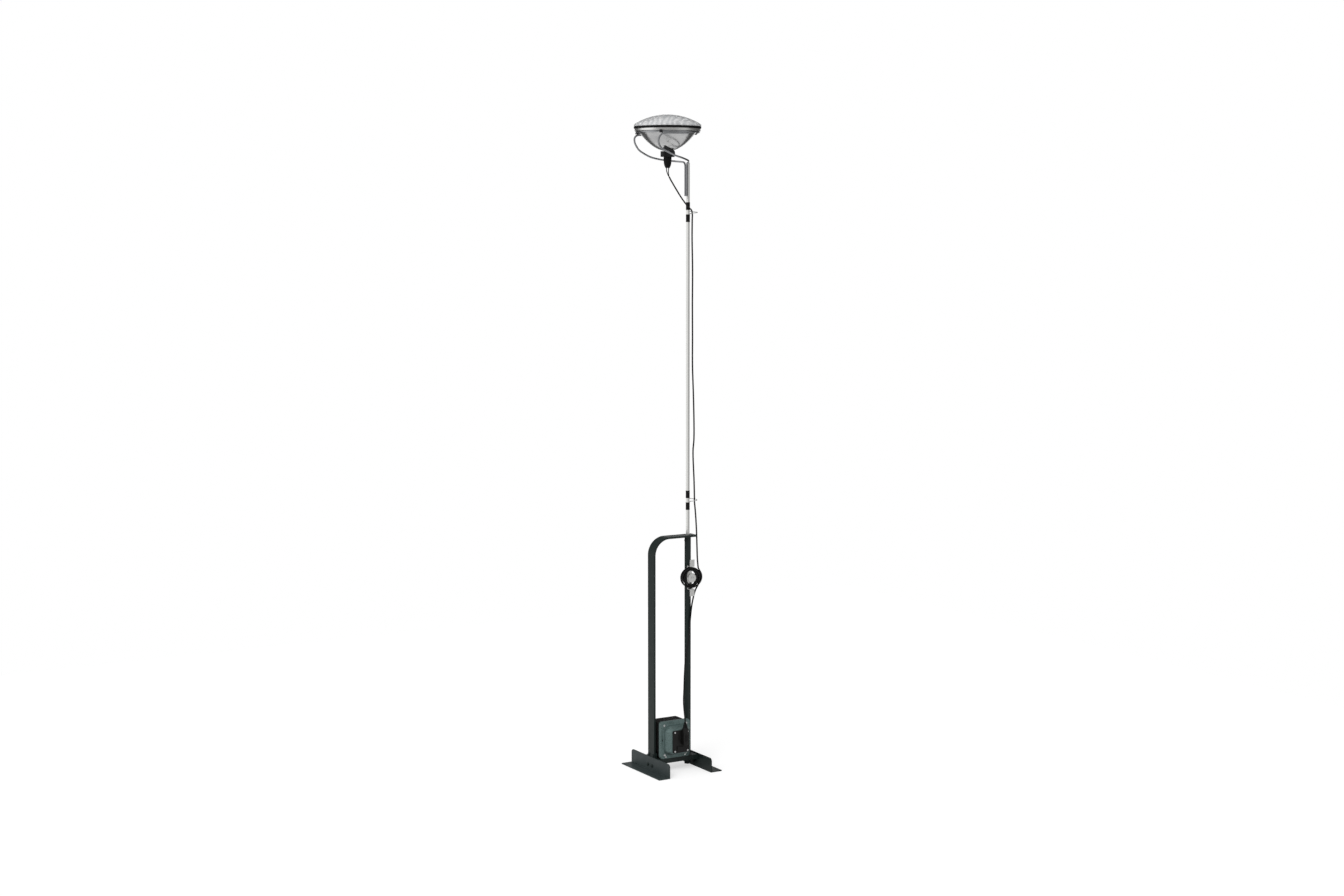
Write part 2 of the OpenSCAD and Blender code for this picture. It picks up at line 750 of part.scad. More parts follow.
module cord_inlet() {
  face = [plug_size[0] - 1, plug_size[2] - 8];
  color([0.08, 0.08, 0.08]) {
    translate([plug_x, 0, plug_z]) plate_xz(panel_y - 1, 1) round_rect(face, 3);
    translate([plug_x, panel_y + 12, plug_z]) rotate([90, 0, 0]) linear_extrude(12)
      round_rect([plug_size[0] - 4, plug_size[2] - 22], 3);
  }
  color([0.8, 0.65, 0.3]) for (s = [-1, 1])
    translate([plug_x, panel_y + 4, plug_z + s * pin_at]) rotate([90, 0, 0]) cylinder(d = pin_d, h = 13);
}

module cord_plug() {
  color([0.07, 0.07, 0.07]) difference() {
    translate([plug_x, 0, plug_z]) union() {
      plate_xz(plug_y - plug_size[1], plug_size[1]) round_rect([plug_size[0], plug_size[2]], 4);
      for (s = [-1, 0, 1]) translate([s * plug_size[0] / 4, plug_y - plug_size[1], -4])
        rotate([90, 0, 0]) linear_extrude(0.6) round_rect([1.6, plug_size[2] / 2], 0.7);
    }
    for (s = [-1, 1]) translate([plug_x, plug_y + 1, plug_z + s * pin_at]) rotate([90, 0, 0])
      cylinder(d = pin_d + 2 * fit, h = 10.2);
  }
}

module plug_relief() {
  color([0.06, 0.06, 0.06]) hull() {
    translate([plug_x, plug_mid_y, plug_top]) linear_extrude(0.2)
      round_rect([plug_size[0] - 1, plug_size[1] - 1], 4, $fn = 32);
    translate([plug_x, plug_mid_y, plug_top + plug_relief_l * 0.5]) linear_extrude(0.2)
      round_rect([plug_size[0] * 0.7, plug_size[1] * 0.8], 3, $fn = 32);
    translate([plug_x, plug_mid_y, relief_top - 0.2]) linear_extrude(0.2)
      round_rect([cord_t + 2, cord_w + 2], 1.5, $fn = 32);
  }
}

// ---- cord winder ----

module winder_screw_hole() {
  translate([post_x, -post_af, winder_z]) rotate([-90, 0, 0])
    cylinder(d = 4 + screw_clear, h = post_af);
}

// the strip's side view: Y across, Z up, half of it
module winder_half() {
  back = post_face - winder_t;
  translate([back, 0]) square([winder_t, tab_from + winder_t]);
  translate([tab_y - winder_t, tab_from]) square([back - tab_y + 2 * winder_t, winder_t]);
  translate([tab_y - winder_t, tab_from]) square([winder_t, tab_h]);
}

module winder_strip() {
  color([0.85, 0.86, 0.87]) difference() {
    for (s = [0, 1]) translate([post_x - winder_w / 2, 0, winder_z]) mirror([0, 0, s])
      rotate([90, 0, 90]) linear_extrude(winder_w) winder_half();
    winder_screw_hole();
  }
}

module winder_disc() {
  color([0.88, 0.89, 0.9]) translate([post_x, 0, winder_z]) rotate([90, 0, 0]) difference() {
    union() {
      translate([0, 0, -disc_y]) cylinder(d = disc_d, h = disc_t);
      translate([0, 0, -post_face + winder_t]) cylinder(d = spool_d, h = -disc_y + post_face - winder_t);
    }
    cylinder(d = 4 + screw_clear, h = -disc_y + disc_t - 1);
  }
}

module winder_screw() {
  color([0.8, 0.8, 0.8]) translate([post_x, disc_y - disc_t + 1.2, winder_z]) rotate([-90, 0, 0])
    cylinder(d = 4, h = post_face - disc_y + disc_t + post_wall - 1.2);
}

// ---- cord ----

// turns from the coil's middle: it winds in on the front layer and out on the back one
function coil_point(n) =
  let (u = n - coil_turns / 2, a = coil_start - 360 * n,
       r = coil_in + coil_grow * abs(u),
       y = coil_front + coil_layer * min(1, max(0, 0.5 + u / 0.5)))
  [post_x + r[0] * cos(a), y, winder_z + r[1] * sin(a)];

function coil_route() = let (n = round(coil_turns * coil_rings),
  p = [for (i = [0 : n]) coil_point(coil_turns * i / n)])
  concat([p[0] - cord_w * heading(p, 0)], p, [p[n] + cord_w * heading(p, n)]);

// the gap between two stretches whose flat sides face each other
function flat_gap(a, b) = let (d = b - a, across = max(0, abs(d[1]) - (cord_w - cord_t)))
  sqrt(across * across + d[0] * d[0] + d[2] * d[2]) - cord_t;

coil_path = coil_route();
coil_apart = coil_rings / 2;
echo(least_coil_gap = min([for (i = [0 : len(coil_path) - 1 - coil_apart])
  for (j = [i + coil_apart : len(coil_path) - 1]) flat_gap(coil_path[i], coil_path[j])]));

function route_length(p) = let (l = [for (i = [1 : len(p) - 1]) norm(p[i] - p[i - 1])])
  l * [for (k = l) 1];

module cord_coil() {
  color([0.05, 0.05, 0.05]) tube(coil_path, flat_section(6));
}

// each free stretch runs straight for one cord width at either end
lower_path = let (from = coil_path[len(coil_path) - 1], out = heading(coil_path, len(coil_path) - 1),
                  to = [plug_x, plug_mid_y, relief_top])
  concat([from], smooth(concat([from + cord_w * out], lower_points, [to + [0, 0, cord_w]]), 2), [to]);
riser_path = let (to = coil_path[0], on = heading(coil_path, 0))
  concat([eye_pass - [0, 0, eye_slip]],
         smooth(concat([eye_pass - [0, 0, cord_w]], riser_points, [to - cord_w * on]), 2), [to]);
upper_path = concat([leads_join],
  smooth(concat([leads_join + cord_w * leads_down], upper_points, [eye_pass + [0, 0, cord_w]]), 2),
  [eye_pass]);
echo(riser_fixed_end = coil_path[0]);
echo(cord_length = route_length(lower_path) + route_length(coil_path) + route_length(riser_path)
     + route_length(upper_path));

module cord_lower() {
  color([0.05, 0.05, 0.05]) tube(lower_path, flat_section(10));
}

module cord_riser() {
  color([0.05, 0.05, 0.05]) tube(riser_path, flat_section(10));
}

module cord_upper() {
  color([0.05, 0.05, 0.05]) tube(upper_path, flat_section(10));
}

// the leads lie side by side under the boot and one behind the other where the cord begins;
// each end runs straight
leads_path = let (boot = [lamp_x, 0, boot_low])
  concat([boot], smooth([boot - [0, 0, lead_d], boot - [0, 0, 10],
                         leads_join - 3 * lead_d * leads_down, leads_join - lead_d * leads_down], 2),
         [leads_join]);
function lead_beside(share) = [leads_apart * cos(90 * share),
                               (cord_w - lead_d) / 2 * sin(90 * share), 0];

module lamp_leads() {
  n = len(leads_path) - 1;
  color([0.05, 0.05, 0.05]) for (s = [-1, 1])
    tube([for (i = [0 : n])
            leads_path[i] + s * lead_beside(min(1, max(0, (i - 1) / (n - 2))))],
         round_section(lead_d, 8));
}

// ---- stem and guides ----

module stem() {
  color([0.85, 0.85, 0.84]) difference() {
    translate([post_x, 0, stem_low]) linear_extrude(stem_top - stem_low) hex(stem_af);
    translate([post_x, 0, stem_low - 1]) cylinder(d = stem_bore, h = stem_top - stem_low + 2);
  }
}

module stem_slider() {
  color([0.85, 0.85, 0.82]) translate([post_x, 0, stem_low]) difference() {
    union() {
      translate([0, 0, -4]) linear_extrude(4) hex(tube_af - 4 * fit);
      linear_extrude(slider_l) hex(tube_af - 4 * fit);
    }
    linear_extrude(slider_l + 1) hex(stem_af + 0.02);
  }
}

module stem_cap() {
  color([0.85, 0.85, 0.84]) translate([post_x, 0, stem_top]) {
    linear_extrude(cap_t) hex(stem_af - 0.6);
    translate([0, 0, -8]) cylinder(d = stem_bore - 2 * fit, h = 8);
  }
}

// up the stem's far flat, once round the eye, which falls as it goes, and down the same flat
function guide_route(z) = concat(
  [for (h = [sleeve_from + sleeve_l, 15, sleeve_from, sleeve_from - wire_straight])
     [post_x + foot_wire[0], foot_wire[1], z + h]],
  [for (a = [160 : -16 : -160])
     [post_x + eye_x + eye_r * cos(a), eye_r * sin(a), z + eye_pitch * a / 160]],
  [[post_x + stem_corner + eye_wire / 2 + 0.4, 0, z - eye_pitch - 1]],
  [for (h = [sleeve_from - wire_straight, sleeve_from, 15, sleeve_from + sleeve_l])
     [post_x + foot_wire[0], foot_wire[1], z - h]]);

module guide(z) {
  color([0.8, 0.8, 0.8]) tube(guide_route(z), round_section(eye_wire, 8), [0.1, 0.2, 0.97] );
}

module upper_guide() { guide(upper_eye); }
module lower_guide() { guide(lower_eye); }

module sleeves(z) {
  color([0.05, 0.05, 0.05]) for (s = [0, 1]) translate([post_x, 0, z]) mirror([0, 0, s])
    translate([0, 0, sleeve_from]) difference() {
      linear_extrude(sleeve_l) hull() {
        hex(stem_af + 2 * sleeve_wall);
        translate(foot_wire) circle(r = eye_wire / 2 + sleeve_wall, $fn = 24);
      }
      translate([0, 0, -1]) linear_extrude(sleeve_l + 2) {
        hex(stem_af + 0.02);
        translate(foot_wire) circle(d = eye_wire + 0.02);
      }
    }
}

module upper_sleeves() { sleeves(upper_eye); }
module lower_sleeves() { sleeves(lower_eye); }

// ---- lamp head ----

// an arm's route: [share of the reach, share of the ring's radius, drop below the ring]
arm_shares = [
  [0.1, 0.15, -79], [0.3, 0.4, -76], [0.62, 0.62, -73], [0.94, 0.75, -69],
  [1.25, 0.78, -64], [1.58, 0.76, -55], [1.82, 0.72, -47], [1.96, 0.72, -36],
  [2.02, 0.75, -25], [1.99, 0.79, -14], [1.87, 0.81, -7]
];

function arm_route(side) =
  let (flat = stem_af / 2 + rod_d / 2 + 0.05, under = rod_d + 0.1,
       at = flat * [-cos(30), side * sin(30)])
  concat(
    [for (h = [arm_braze, arm_braze / 2, 14, 9]) [post_x + at[0], at[1], stem_top - h]],
    [[post_x + at[0] - 0.5, at[1] + side, stem_top - 3]],
    [for (s = arm_shares)
       [post_x - s[0] * head_reach, side * s[1] * ring_r, ring_z + s[2] * ring_rise / 82]],
    [for (a = [60 : 10 : 100])
       [lamp_x - ring_r * cos(a), side * ring_r * sin(a), ring_z - under]]);

module arm(side) {
  color([0.78, 0.78, 0.8]) tube(smooth(arm_route(side), 3), round_section(rod_d, 10), [0, 1, 0]);
}

module near_arm() { arm(-1); }
module far_arm() { arm(1); }

module support_ring() {
  color([0.78, 0.78, 0.8]) translate([lamp_x, 0, ring_z]) rotate_extrude($fn = 96)
    translate([ring_r, 0]) circle(d = rod_d, $fn = 24);
}

module lamp_rim() {
  out = lamp_d / 2 - 2;
  color([0.85, 0.85, 0.86]) translate([lamp_x, 0, rim_low]) rotate_extrude($fn = 96) {
    translate([out - 1.6, 0]) square([1.6, rim_h]);
    translate([ring_r - 3, 0]) square([out - ring_r + 3, 1.6]);
    translate([out - 4, rim_h - 1.6]) square([4, 1.6]);
  }
}

module rim_gasket() {
  out = lamp_d / 2;
  color([0.05, 0.05, 0.05]) translate([lamp_x, 0, gasket_low]) rotate_extrude($fn = 96) {
    translate([lamp_r + 0.1, 0]) square([out - lamp_r - 0.1, gasket_h - 0.05]);
    translate([bowl_r + seat, 0]) square([out - bowl_r - seat, 1.6]);
  }
}

module rim_clips() {
  color([0.3, 0.3, 0.3]) for (a = clip_angles) translate([lamp_x, 0, 0]) rotate([0, 0, a]) {
    translate([lamp_d / 2 - 2 + 0.05, -4, ring_z - rod_d / 2 - 1.6]) cube([1.4, 8, rod_d + 3.2]);
    translate([ring_r - 2, -4, ring_z - rod_d / 2 - 1.6]) cube([lamp_d / 2 - ring_r, 8, 1.5]);
  }
}

// the lens's outer face: a shallow ball, then a round shoulder down to its upright edge
lens_turn = [0.87 * lens_r, 0.6 * lens_rise];
lens_ball = (lens_turn[0] * lens_turn[0] + lens_turn[1] * lens_turn[1]) / (2 * lens_turn[1]);
lens_corner = lens_rise - lens_turn[1]
  - (lens_r - lens_turn[0]) * lens_turn[0] / (lens_ball - lens_turn[1]);
function lens_dome(share) = let (x = lens_turn[0] * share)
  [x, sqrt(lens_ball * lens_ball - x * x) - lens_ball + lens_rise];
function lens_shoulder(t) = [lens_turn[0], lens_rise - lens_turn[1]] * (1 - t) * (1 - t)
  + [lens_r, lens_corner] * 2 * t * (1 - t) + [lens_r, lens_edge] * t * t;

module lens() {
  dome = [for (i = [0 : 12]) lens_dome(i / 12)];
  shoulder = [for (i = [1 : 5]) lens_shoulder(i / 5)];
  skirt_in = bowl_r - 1;
  skirt_low = seat_low - lens_low;
  color([0.8, 0.8, 0.82, 0.5]) translate([lamp_x, 0, lens_low]) rotate_extrude($fn = 96)
    polygon(concat(dome, shoulder,
                   [[lens_r, 0], [lamp_r, 0], [lamp_r, skirt_low], [skirt_in, skirt_low]],
                   [for (i = [12 : -1 : 0]) [min(dome[i][0], skirt_in), dome[i][1] - glass_t]]));
}

function bowl_z(r) = bowl_low + (bowl_depth - 4) * r * r / (bowl_r * bowl_r);

module reflector() {
  n = 14;
  color([0.75, 0.75, 0.76]) translate([lamp_x, 0, 0]) rotate_extrude($fn = 96) polygon(concat(
    [for (i = [0 : n]) [bowl_r * i / n, bowl_z(bowl_r * i / n)]],
    [[bowl_r, gasket_low + 1.7], [lamp_r, gasket_low + 1.7], [lamp_r, seat_low - 0.1],
     [bowl_r - glass_t, seat_low - 0.1]],
    [for (i = [n : -1 : 0]) [(bowl_r - glass_t) * i / n, bowl_z(bowl_r * i / n) + glass_t]]));
}

module filament() {
  color([0.6, 0.6, 0.55]) translate([lamp_x, 0, bowl_low + glass_t + seat]) {
    cylinder(d = 9, h = 5);
    for (s = [-1, 1]) translate([s * 3, 0, 4]) cylinder(d = 1.5, h = 16);
    translate([0, 0, 20]) rotate([0, 90, 0]) cylinder(d = 3, h = 12, center = true);
  }
}

module lamp_holder() {
  color([0.05, 0.05, 0.05]) difference() {
    translate([lamp_x, 0, boot_top]) linear_extrude(holder_size[2])
      round_rect([holder_size[0], holder_size[1]], holder_size[1] / 2 - 0.5);
    for (s = [-1, 1]) translate([lamp_x + s * 9, 0, holder_top - prong[2] / 2])
      cube(prong + 2 * fit * [1, 1, 10], center = true);
  }
}

// the lamp's two blades, which the holder grips
module lamp_prongs() {
  color([0.75, 0.6, 0.3]) for (s = [-1, 1]) translate([lamp_x + s * 9 - prong[0] / 2, -prong[1] / 2,
                                                       holder_top - prong[2] + seat])
    cube(prong);
}

// a flat strap from the holder's front, lying along the bowl's near side
holder_front = -holder_size[1] / 2;
holder_clip_route = [
  [lamp_x + 9, holder_front - 2.8, boot_top + 3], [lamp_x + 8.6, holder_front - 3, boot_top + 9],
  [lamp_x + 5.5, holder_front - 5.6, bowl_low - 1.4], under_bowl(-3, -22, 2.9),
  under_bowl(-14, -25.5, 2.5), under_bowl(-27, -28.5, 2.6)
];
function under_bowl(x, y, gap) = [lamp_x + x, y, bowl_z(norm([x, y])) - gap];

module holder_clip() {
  w = 10;
  t = 1.6;
  color([0.05, 0.05, 0.05]) tube(smooth(holder_clip_route, 3),
    [[w / 2, t / 2], [-w / 2, t / 2], [-w / 2, -t / 2], [w / 2, -t / 2]], [-0.15, -0.6, -0.78]);
}

module holder_boot() {
  color([0.05, 0.05, 0.05]) translate([lamp_x, 0, boot_low]) rotate_extrude()
    polygon([[0, 0], [6, 0], [8.6, boot_l * 0.17], [10.2, boot_l * 0.4],
             [11, boot_l * 0.7], [11, boot_l], [0, boot_l]]);
}

left_foot();
right_foot();
platform();
handle();
post();
post_bush();
clamp_nut();
clamp_screw();
handle_screws();
foot_screws();
core_packer();
packer_screws();
transformer_core();
transformer_winding();
front_cover();
back_cover();
core_bolts();
cover_screws();
terminal_panel();
panel_screws();
switch_body();
switch_rocker();
cord_inlet();
cord_plug();
plug_relief();
mains_gland();
winder_strip();
winder_disc();
winder_screw();
cord_coil();
cord_lower();
cord_riser();
cord_upper();
stem();
stem_slider();
stem_cap();
upper_guide();
lower_guide();
upper_sleeves();
lower_sleeves();
near_arm();
far_arm();
support_ring();
lamp_rim();
rim_gasket();
rim_clips();
lens();
reflector();
filament();
lamp_prongs();
lamp_holder();
holder_clip();
holder_boot();
lamp_leads();
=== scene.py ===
import json
import math

import bmesh
import bpy
from mathutils import Euler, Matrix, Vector, geometry


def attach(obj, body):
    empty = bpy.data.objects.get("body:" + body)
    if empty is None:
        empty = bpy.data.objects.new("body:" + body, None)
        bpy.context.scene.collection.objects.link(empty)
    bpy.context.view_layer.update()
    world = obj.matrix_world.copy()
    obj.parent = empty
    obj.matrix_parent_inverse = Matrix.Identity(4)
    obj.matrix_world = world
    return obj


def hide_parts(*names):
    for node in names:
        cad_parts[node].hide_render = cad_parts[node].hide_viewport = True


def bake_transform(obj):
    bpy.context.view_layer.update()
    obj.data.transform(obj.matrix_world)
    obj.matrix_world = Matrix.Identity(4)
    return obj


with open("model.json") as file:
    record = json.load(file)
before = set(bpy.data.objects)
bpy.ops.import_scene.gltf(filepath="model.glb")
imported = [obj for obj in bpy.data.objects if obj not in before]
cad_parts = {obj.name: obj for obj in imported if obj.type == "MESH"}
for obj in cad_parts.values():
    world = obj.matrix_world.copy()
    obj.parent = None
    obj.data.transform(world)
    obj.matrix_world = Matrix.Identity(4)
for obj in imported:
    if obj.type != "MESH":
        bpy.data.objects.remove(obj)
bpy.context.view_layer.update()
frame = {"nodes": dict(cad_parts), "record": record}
nodes = frame["nodes"]
scene = bpy.context.scene
print("frame loaded,", len(nodes), "solids")

# where things are, from the source of the solids, in metres
place = {
    "postX": 0.053, "lampX": -0.012, "coverX": -0.009204, "coverZ": 0.09075, "coreZ": 0.08925,
    "stemTop": 1.684, "stemAf": 0.010, "winderZ": 0.538, "lowerEye": 0.754, "upperEye": 1.551,
    "ringZ": 1.766, "ringR": 0.086, "flutes": (0.7, -0.72, 0.0),
}

view = {"at": (-2.8966, -4.8708, 1.489), "pitch": 84.093, "heading": -30.757, "lens": 55.18, "sensor": 36, "far": 100}

cameraData = bpy.data.cameras.new("camera")
cameraData.lens, cameraData.sensor_width, cameraData.clip_end = view["lens"], view["sensor"], view["far"]
camera = bpy.data.objects.new("camera", cameraData)
camera.location = view["at"]
camera.rotation_euler = Euler((math.radians(view["pitch"]), 0, math.radians(view["heading"])))
scene.collection.objects.link(camera)
scene.camera = camera
scene.view_settings.view_transform = "Standard"


class Value:  # one output of a node, which can be calculated with
    def __init__(self, nodes, socket):
        self.nodes, self.socket = nodes, socket

    def __add__(self, other): return self.nodes.maths("ADD", self, other)
    def __radd__(self, other): return self.nodes.maths("ADD", other, self)
    def __mul__(self, other): return self.nodes.maths("MULTIPLY", self, other)
    def __rmul__(self, other): return self.nodes.maths("MULTIPLY", other, self)
    def __truediv__(self, other): return self.nodes.maths("DIVIDE", self, other)
    def __rtruediv__(self, other): return self.nodes.maths("DIVIDE", other, self)


class Nodes:  # a node tree that is written as calls
    def __init__(self, tree):
        self.tree = tree

    def put(self, value, socket):
        if isinstance(value, Value):
            self.tree.links.new(value.socket, socket)
        else:
            socket.default_value = value

    def node(self, kind, settings=None, inputs=(), out=0):
        made = self.tree.nodes.new(kind)
        for key, value in (settings or {}).items():
            if key == "stops":
                elements = made.color_ramp.elements
                while len(elements) < len(value):
                    elements.new(0.5)
                for stop, (at, colour) in zip(elements, value):
                    stop.position, stop.color = at, colour
            else:
                setattr(made, key, value)
        shown = [s for s in made.inputs if s.enabled]
        pairs = inputs.items() if isinstance(inputs, dict) else enumerate(inputs)
        for key, value in pairs:
            socket = shown[key] if isinstance(key, int) else [s for s in shown if s.name == key][0]
            self.put(value, socket)
        outs = [s for s in made.outputs if s.enabled]
        return Value(self, outs[out] if isinstance(out, int) else made.outputs[out])

    def maths(self, how, *values):
        return self.node("ShaderNodeMath", {"operation": how}, values)

    def dot(self, first, second):
        return self.node("ShaderNodeVectorMath", {"operation": "DOT_PRODUCT"}, [first, second], out="Value")

    def ramp(self, value, low, high, start=0.0, end=1.0):
        return self.node("ShaderNodeMapRange", {"clamp": True}, [value, low, high, start, end])

    def between(self, share, first, second):  # for numbers, as mixed is for colours
        return self.node("ShaderNodeMix", {"data_type": "FLOAT"}, [share, first, second])

    def mixed(self, share, first, second):
        return self.node("ShaderNodeMix", {"data_type": "RGBA"}, [share, first, second])

    def ray(self, kind):  # 1 for rays of this kind
        return self.node("ShaderNodeLightPath", out="Is " + kind + " Ray")


def tone(red, green, blue):  # a colour as a screen shows it, made linear
    return (*[(c / 255 / 12.92 if c < 11 else ((c / 255 + 0.055) / 1.055) ** 2.4)
              for c in (red, green, blue)], 1)


def grey(level):
    return (level, level, level, 1)


class Finish(Nodes):  # one surface finish
    def __init__(self, name, **constants):
        self.material = bpy.data.materials.new(name)
        self.material.use_nodes = True
        super().__init__(self.material.node_tree)
        self.surface = self.tree.nodes["Principled BSDF"]
        self.feed(**constants)
        self.coords = self.node("ShaderNodeTexCoord", out="Object")

    def feed(self, **values):  # numbers, colours or other nodes, to the shader's sockets
        for key, value in values.items():
            words = "".join(" " + c if c.isupper() else c for c in key).title().replace("Ior", "IOR")
            self.put(value, self.surface.inputs[words])

    def stretched(self, x, y, z):  # object coordinates with each axis scaled
        return self.node("ShaderNodeVectorMath", {"operation": "MULTIPLY"}, [self.coords, (x, y, z)])

    def noise(self, scale, detail, along=None):
        return self.node("ShaderNodeTexNoise", None, {
            "Vector": along or self.coords, "Scale": scale, "Detail": detail})

    def uneven(self, scale, detail, low, high):  # noise that goes from low to high
        return self.ramp(self.noise(scale, detail), 0.3, 0.7, low, high)

    def edges(self):  # 1 on the rounded edges of a softened piece
        return self.node("ShaderNodeAttribute", {"attribute_name": "edge"}, out="Fac")

    def done(self, colour, rough, height=None, strength=0.0, depth=0.0):
        self.feed(baseColor=colour, roughness=rough)
        if height:
            self.feed(normal=self.node("ShaderNodeBump", None, {
                "Strength": strength, "Distance": depth, "Height": height}))
        return self.material


def stovePaint(name, dark, light, rubbedAndLit):  # satin stove enamel, rubbed thin along the edges, which are also painted lighter as a highlight
    f = Finish(name, specularIorLevel=0.35)
    # lighter along the rounded edges: partly rubbed paint, partly a painted highlight
    wornAndLitEdges = f.edges() * f.ramp(f.noise(55, 5), 0.52, 0.66)
    colour = f.mixed(wornAndLitEdges * 0.4, f.mixed(f.noise(9, 4), tone(*dark), tone(*light)), tone(*rubbedAndLit))
    return f.done(colour, f.uneven(40, 4, 0.34, 0.48), f.noise(900, 2) + f.noise(180, 2) * 0.8, 0.12, 0.0003)


def coverPaint():  # hammered grey-green enamel
    f = Finish("coverPaint", metallic=0.55)
    dent = f.node("ShaderNodeTexVoronoi", {"feature": "SMOOTH_F1"}, {"Vector": f.coords, "Scale": 330})
    # darker in the hammered dents, where the relief is low: painted shade
    paintedDentShade = f.mixed(f.ramp(dent, 0.1, 0.75), tone(94, 112, 110), tone(112, 133, 131))
    colour = f.mixed(f.noise(60, 3) * 0.4, paintedDentShade, tone(76, 92, 90))
    return f.done(colour, f.ramp(dent, 0.0, 0.8, 0.24, 0.38), dent, 0.25, 0.0005)


def coreVarnish():  # thin black varnish over the iron
    f = Finish("coreVarnish", specularIorLevel=0.3)
    plates = f.noise(700, 2, f.stretched(0.02, 1, 0.02))
    colour = f.mixed(plates, tone(8, 8, 8), tone(22, 21, 21))
    return f.done(colour, f.uneven(60, 4, 0.42, 0.62), plates, 0.3, 0.0004)


def dustyRubber():
    f = Finish("blackRubber", specularIorLevel=0.25)
    colour = f.mixed(f.ramp(f.noise(45, 5), 0.45, 0.8) * 0.4, tone(9, 9, 9), tone(34, 33, 32))
    return f.done(colour, f.uneven(200, 3, 0.55, 0.75), f.noise(1100, 3), 0.25, 0.0002)


def grained(name, cloud, dark, light, rough, pits=None, **constants):  # cloud, rough and pits start with a noise
    f = Finish(name, **constants)
    height = [f.noise(*pits[:2]), *pits[2:]] if pits else []
    return f.done(f.mixed(f.noise(*cloud), tone(*dark), tone(*light)), f.uneven(*rough), *height)


def chromeRod():
    f = Finish("chromeRod", metallic=1.0)
    smear = f.noise(120, 4)
    colour = f.mixed(smear, tone(154, 156, 159), tone(188, 189, 192))
    return f.done(colour, f.ramp(smear, 0.3, 0.75, 0.04, 0.12), f.noise(1500, 2), 0.02, 0.0001)


def nickelPlate():
    f = Finish("nickelPlate", metallic=1.0)
    drawn = f.noise(900, 2, f.stretched(0.06, 1, 1))
    colour = f.mixed(f.noise(80, 4), tone(226, 226, 223), tone(244, 244, 242))
    return f.done(colour, f.ramp(drawn, 0.25, 0.75, 0.24, 0.4), drawn, 0.06, 0.0002)


def drawnAluminium():  # die lines run the length of the stem
    f = Finish("drawnAluminium", metallic=1.0)
    lines, cloud = f.noise(1400, 3, f.stretched(1, 1, 0.004)), f.noise(14, 4, f.stretched(1, 1, 0.3))
    colour = f.mixed(cloud, tone(222, 222, 219), tone(236, 236, 234))
    return f.done(colour, f.ramp(lines, 0.3, 0.7, 0.18, 0.3), lines, 0.06, 0.0001)


def windingCopper():  # enamelled wire, layer on layer
    f = Finish("windingCopper", metallic=0.8)
    wires = f.node("ShaderNodeTexWave", {"bands_direction": "Z"}, {"Vector": f.coords, "Scale": 260})
    # darker in the grooves between the wires, where the relief is low: painted shade
    colour = f.mixed(wires, tone(96, 44, 20), tone(176, 92, 46))
    return f.done(colour, f.ramp(wires, 0, 1, 0.4, 0.3), wires, 0.6, 0.0006)


def lensGlass():  # pressed glass, its inner face in slanting flutes
    f = Finish("lensGlass", transmissionWeight=0.4, ior=1.47)
    ripple = f.noise(30, 3)
    flutes = f.node("ShaderNodeTexWave", {"bands_direction": "DIAGONAL"}, {
        "Vector": f.stretched(*place["flutes"]), "Scale": 44, "Distortion": 6, "Detail": 2, "Detail Scale": 1.4})
    # lighter streaks where the flutes and ripples are high: painted highlights
    colour = f.mixed(f.ramp(flutes * 0.6 + ripple * 0.6, 0.25, 0.95), tone(212, 214, 216), tone(250, 250, 250))
    return f.done(colour, f.ramp(ripple, 0.3, 0.7, 0.1, 0.26), ripple + flutes * 0.3, 0.06, 0.001)


def mirrorBowl():  # glass silvered on the inside, seen from behind: its colour is painted in light and dark swirls, as reflection streaks
    f = Finish("mirrorBowl", metallic=1.0)
    swirl = f.noise(14, 3, f.stretched(1, 1, 1.6))
    colour = f.mixed(f.ramp(swirl, 0.3, 0.6), tone(190, 190, 191), tone(240, 240, 240))
    return f.done(colour, f.ramp(swirl, 0.3, 0.7, 0.3, 0.16), swirl, 0.5, 0.004)


def filamentWire():
    f = Finish("filamentWire", metallic=0.9)
    return f.done(f.mixed(f.noise(900, 2), tone(120, 118, 110), tone(190, 186, 172)), 0.4)


finishes = {
    "dark_paint": stovePaint("darkPaint", (20, 30, 28), (30, 40, 38), (78, 88, 85)),
    "cover_paint": coverPaint(), "core_iron": coreVarnish(), "black_rubber": dustyRubber(),
    "chrome_rod": chromeRod(), "nickel": nickelPlate(), "bright_aluminium": drawnAluminium(),
    "winding_copper": windingCopper(), "lens_glass": lensGlass(), "mirror_bowl": mirrorBowl(),
    "filament_wire": filamentWire(),
    "black_plastic": grained("blackPlastic", (30, 4), (12, 12, 12), (24, 23, 23), (120, 4, 0.3, 0.46),
                             (1500, 2, 0.12, 0.0002), specularIorLevel=0.3),
    "cord_black": grained("flexPlastic", (25, 4), (8, 8, 8), (20, 19, 19), (300, 3, 0.36, 0.52),
                          (700, 2, 0.1, 0.0002), specularIorLevel=0.3),
    "plated_steel": grained("zincScrew", (400, 4), (222, 224, 225), (244, 244, 242), (700, 3, 0.2, 0.36),
                            (2500, 2, 0.08, 0.0001), metallic=1.0),
    "bush_brass": grained("plainBrass", (120, 4), (178, 148, 86), (206, 178, 116), (500, 3, 0.24, 0.4), metallic=1.0),
    "black_steel": grained("blackSteel", (300, 4), (28, 28, 30), (58, 58, 60), (400, 3, 0.34, 0.5), metallic=0.6),
}
slotOf = {part["node"]: part["material_slot"] for part in frame["record"]["subparts"]}
bodyOf = {node: body for body, members in frame["record"]["behaviour"]["bodies"].items() for node in members}
for node, solid in nodes.items():
    solid.data.materials.clear()
    solid.data.materials.append(finishes[slotOf[node]])
print("finishes:", len(finishes))


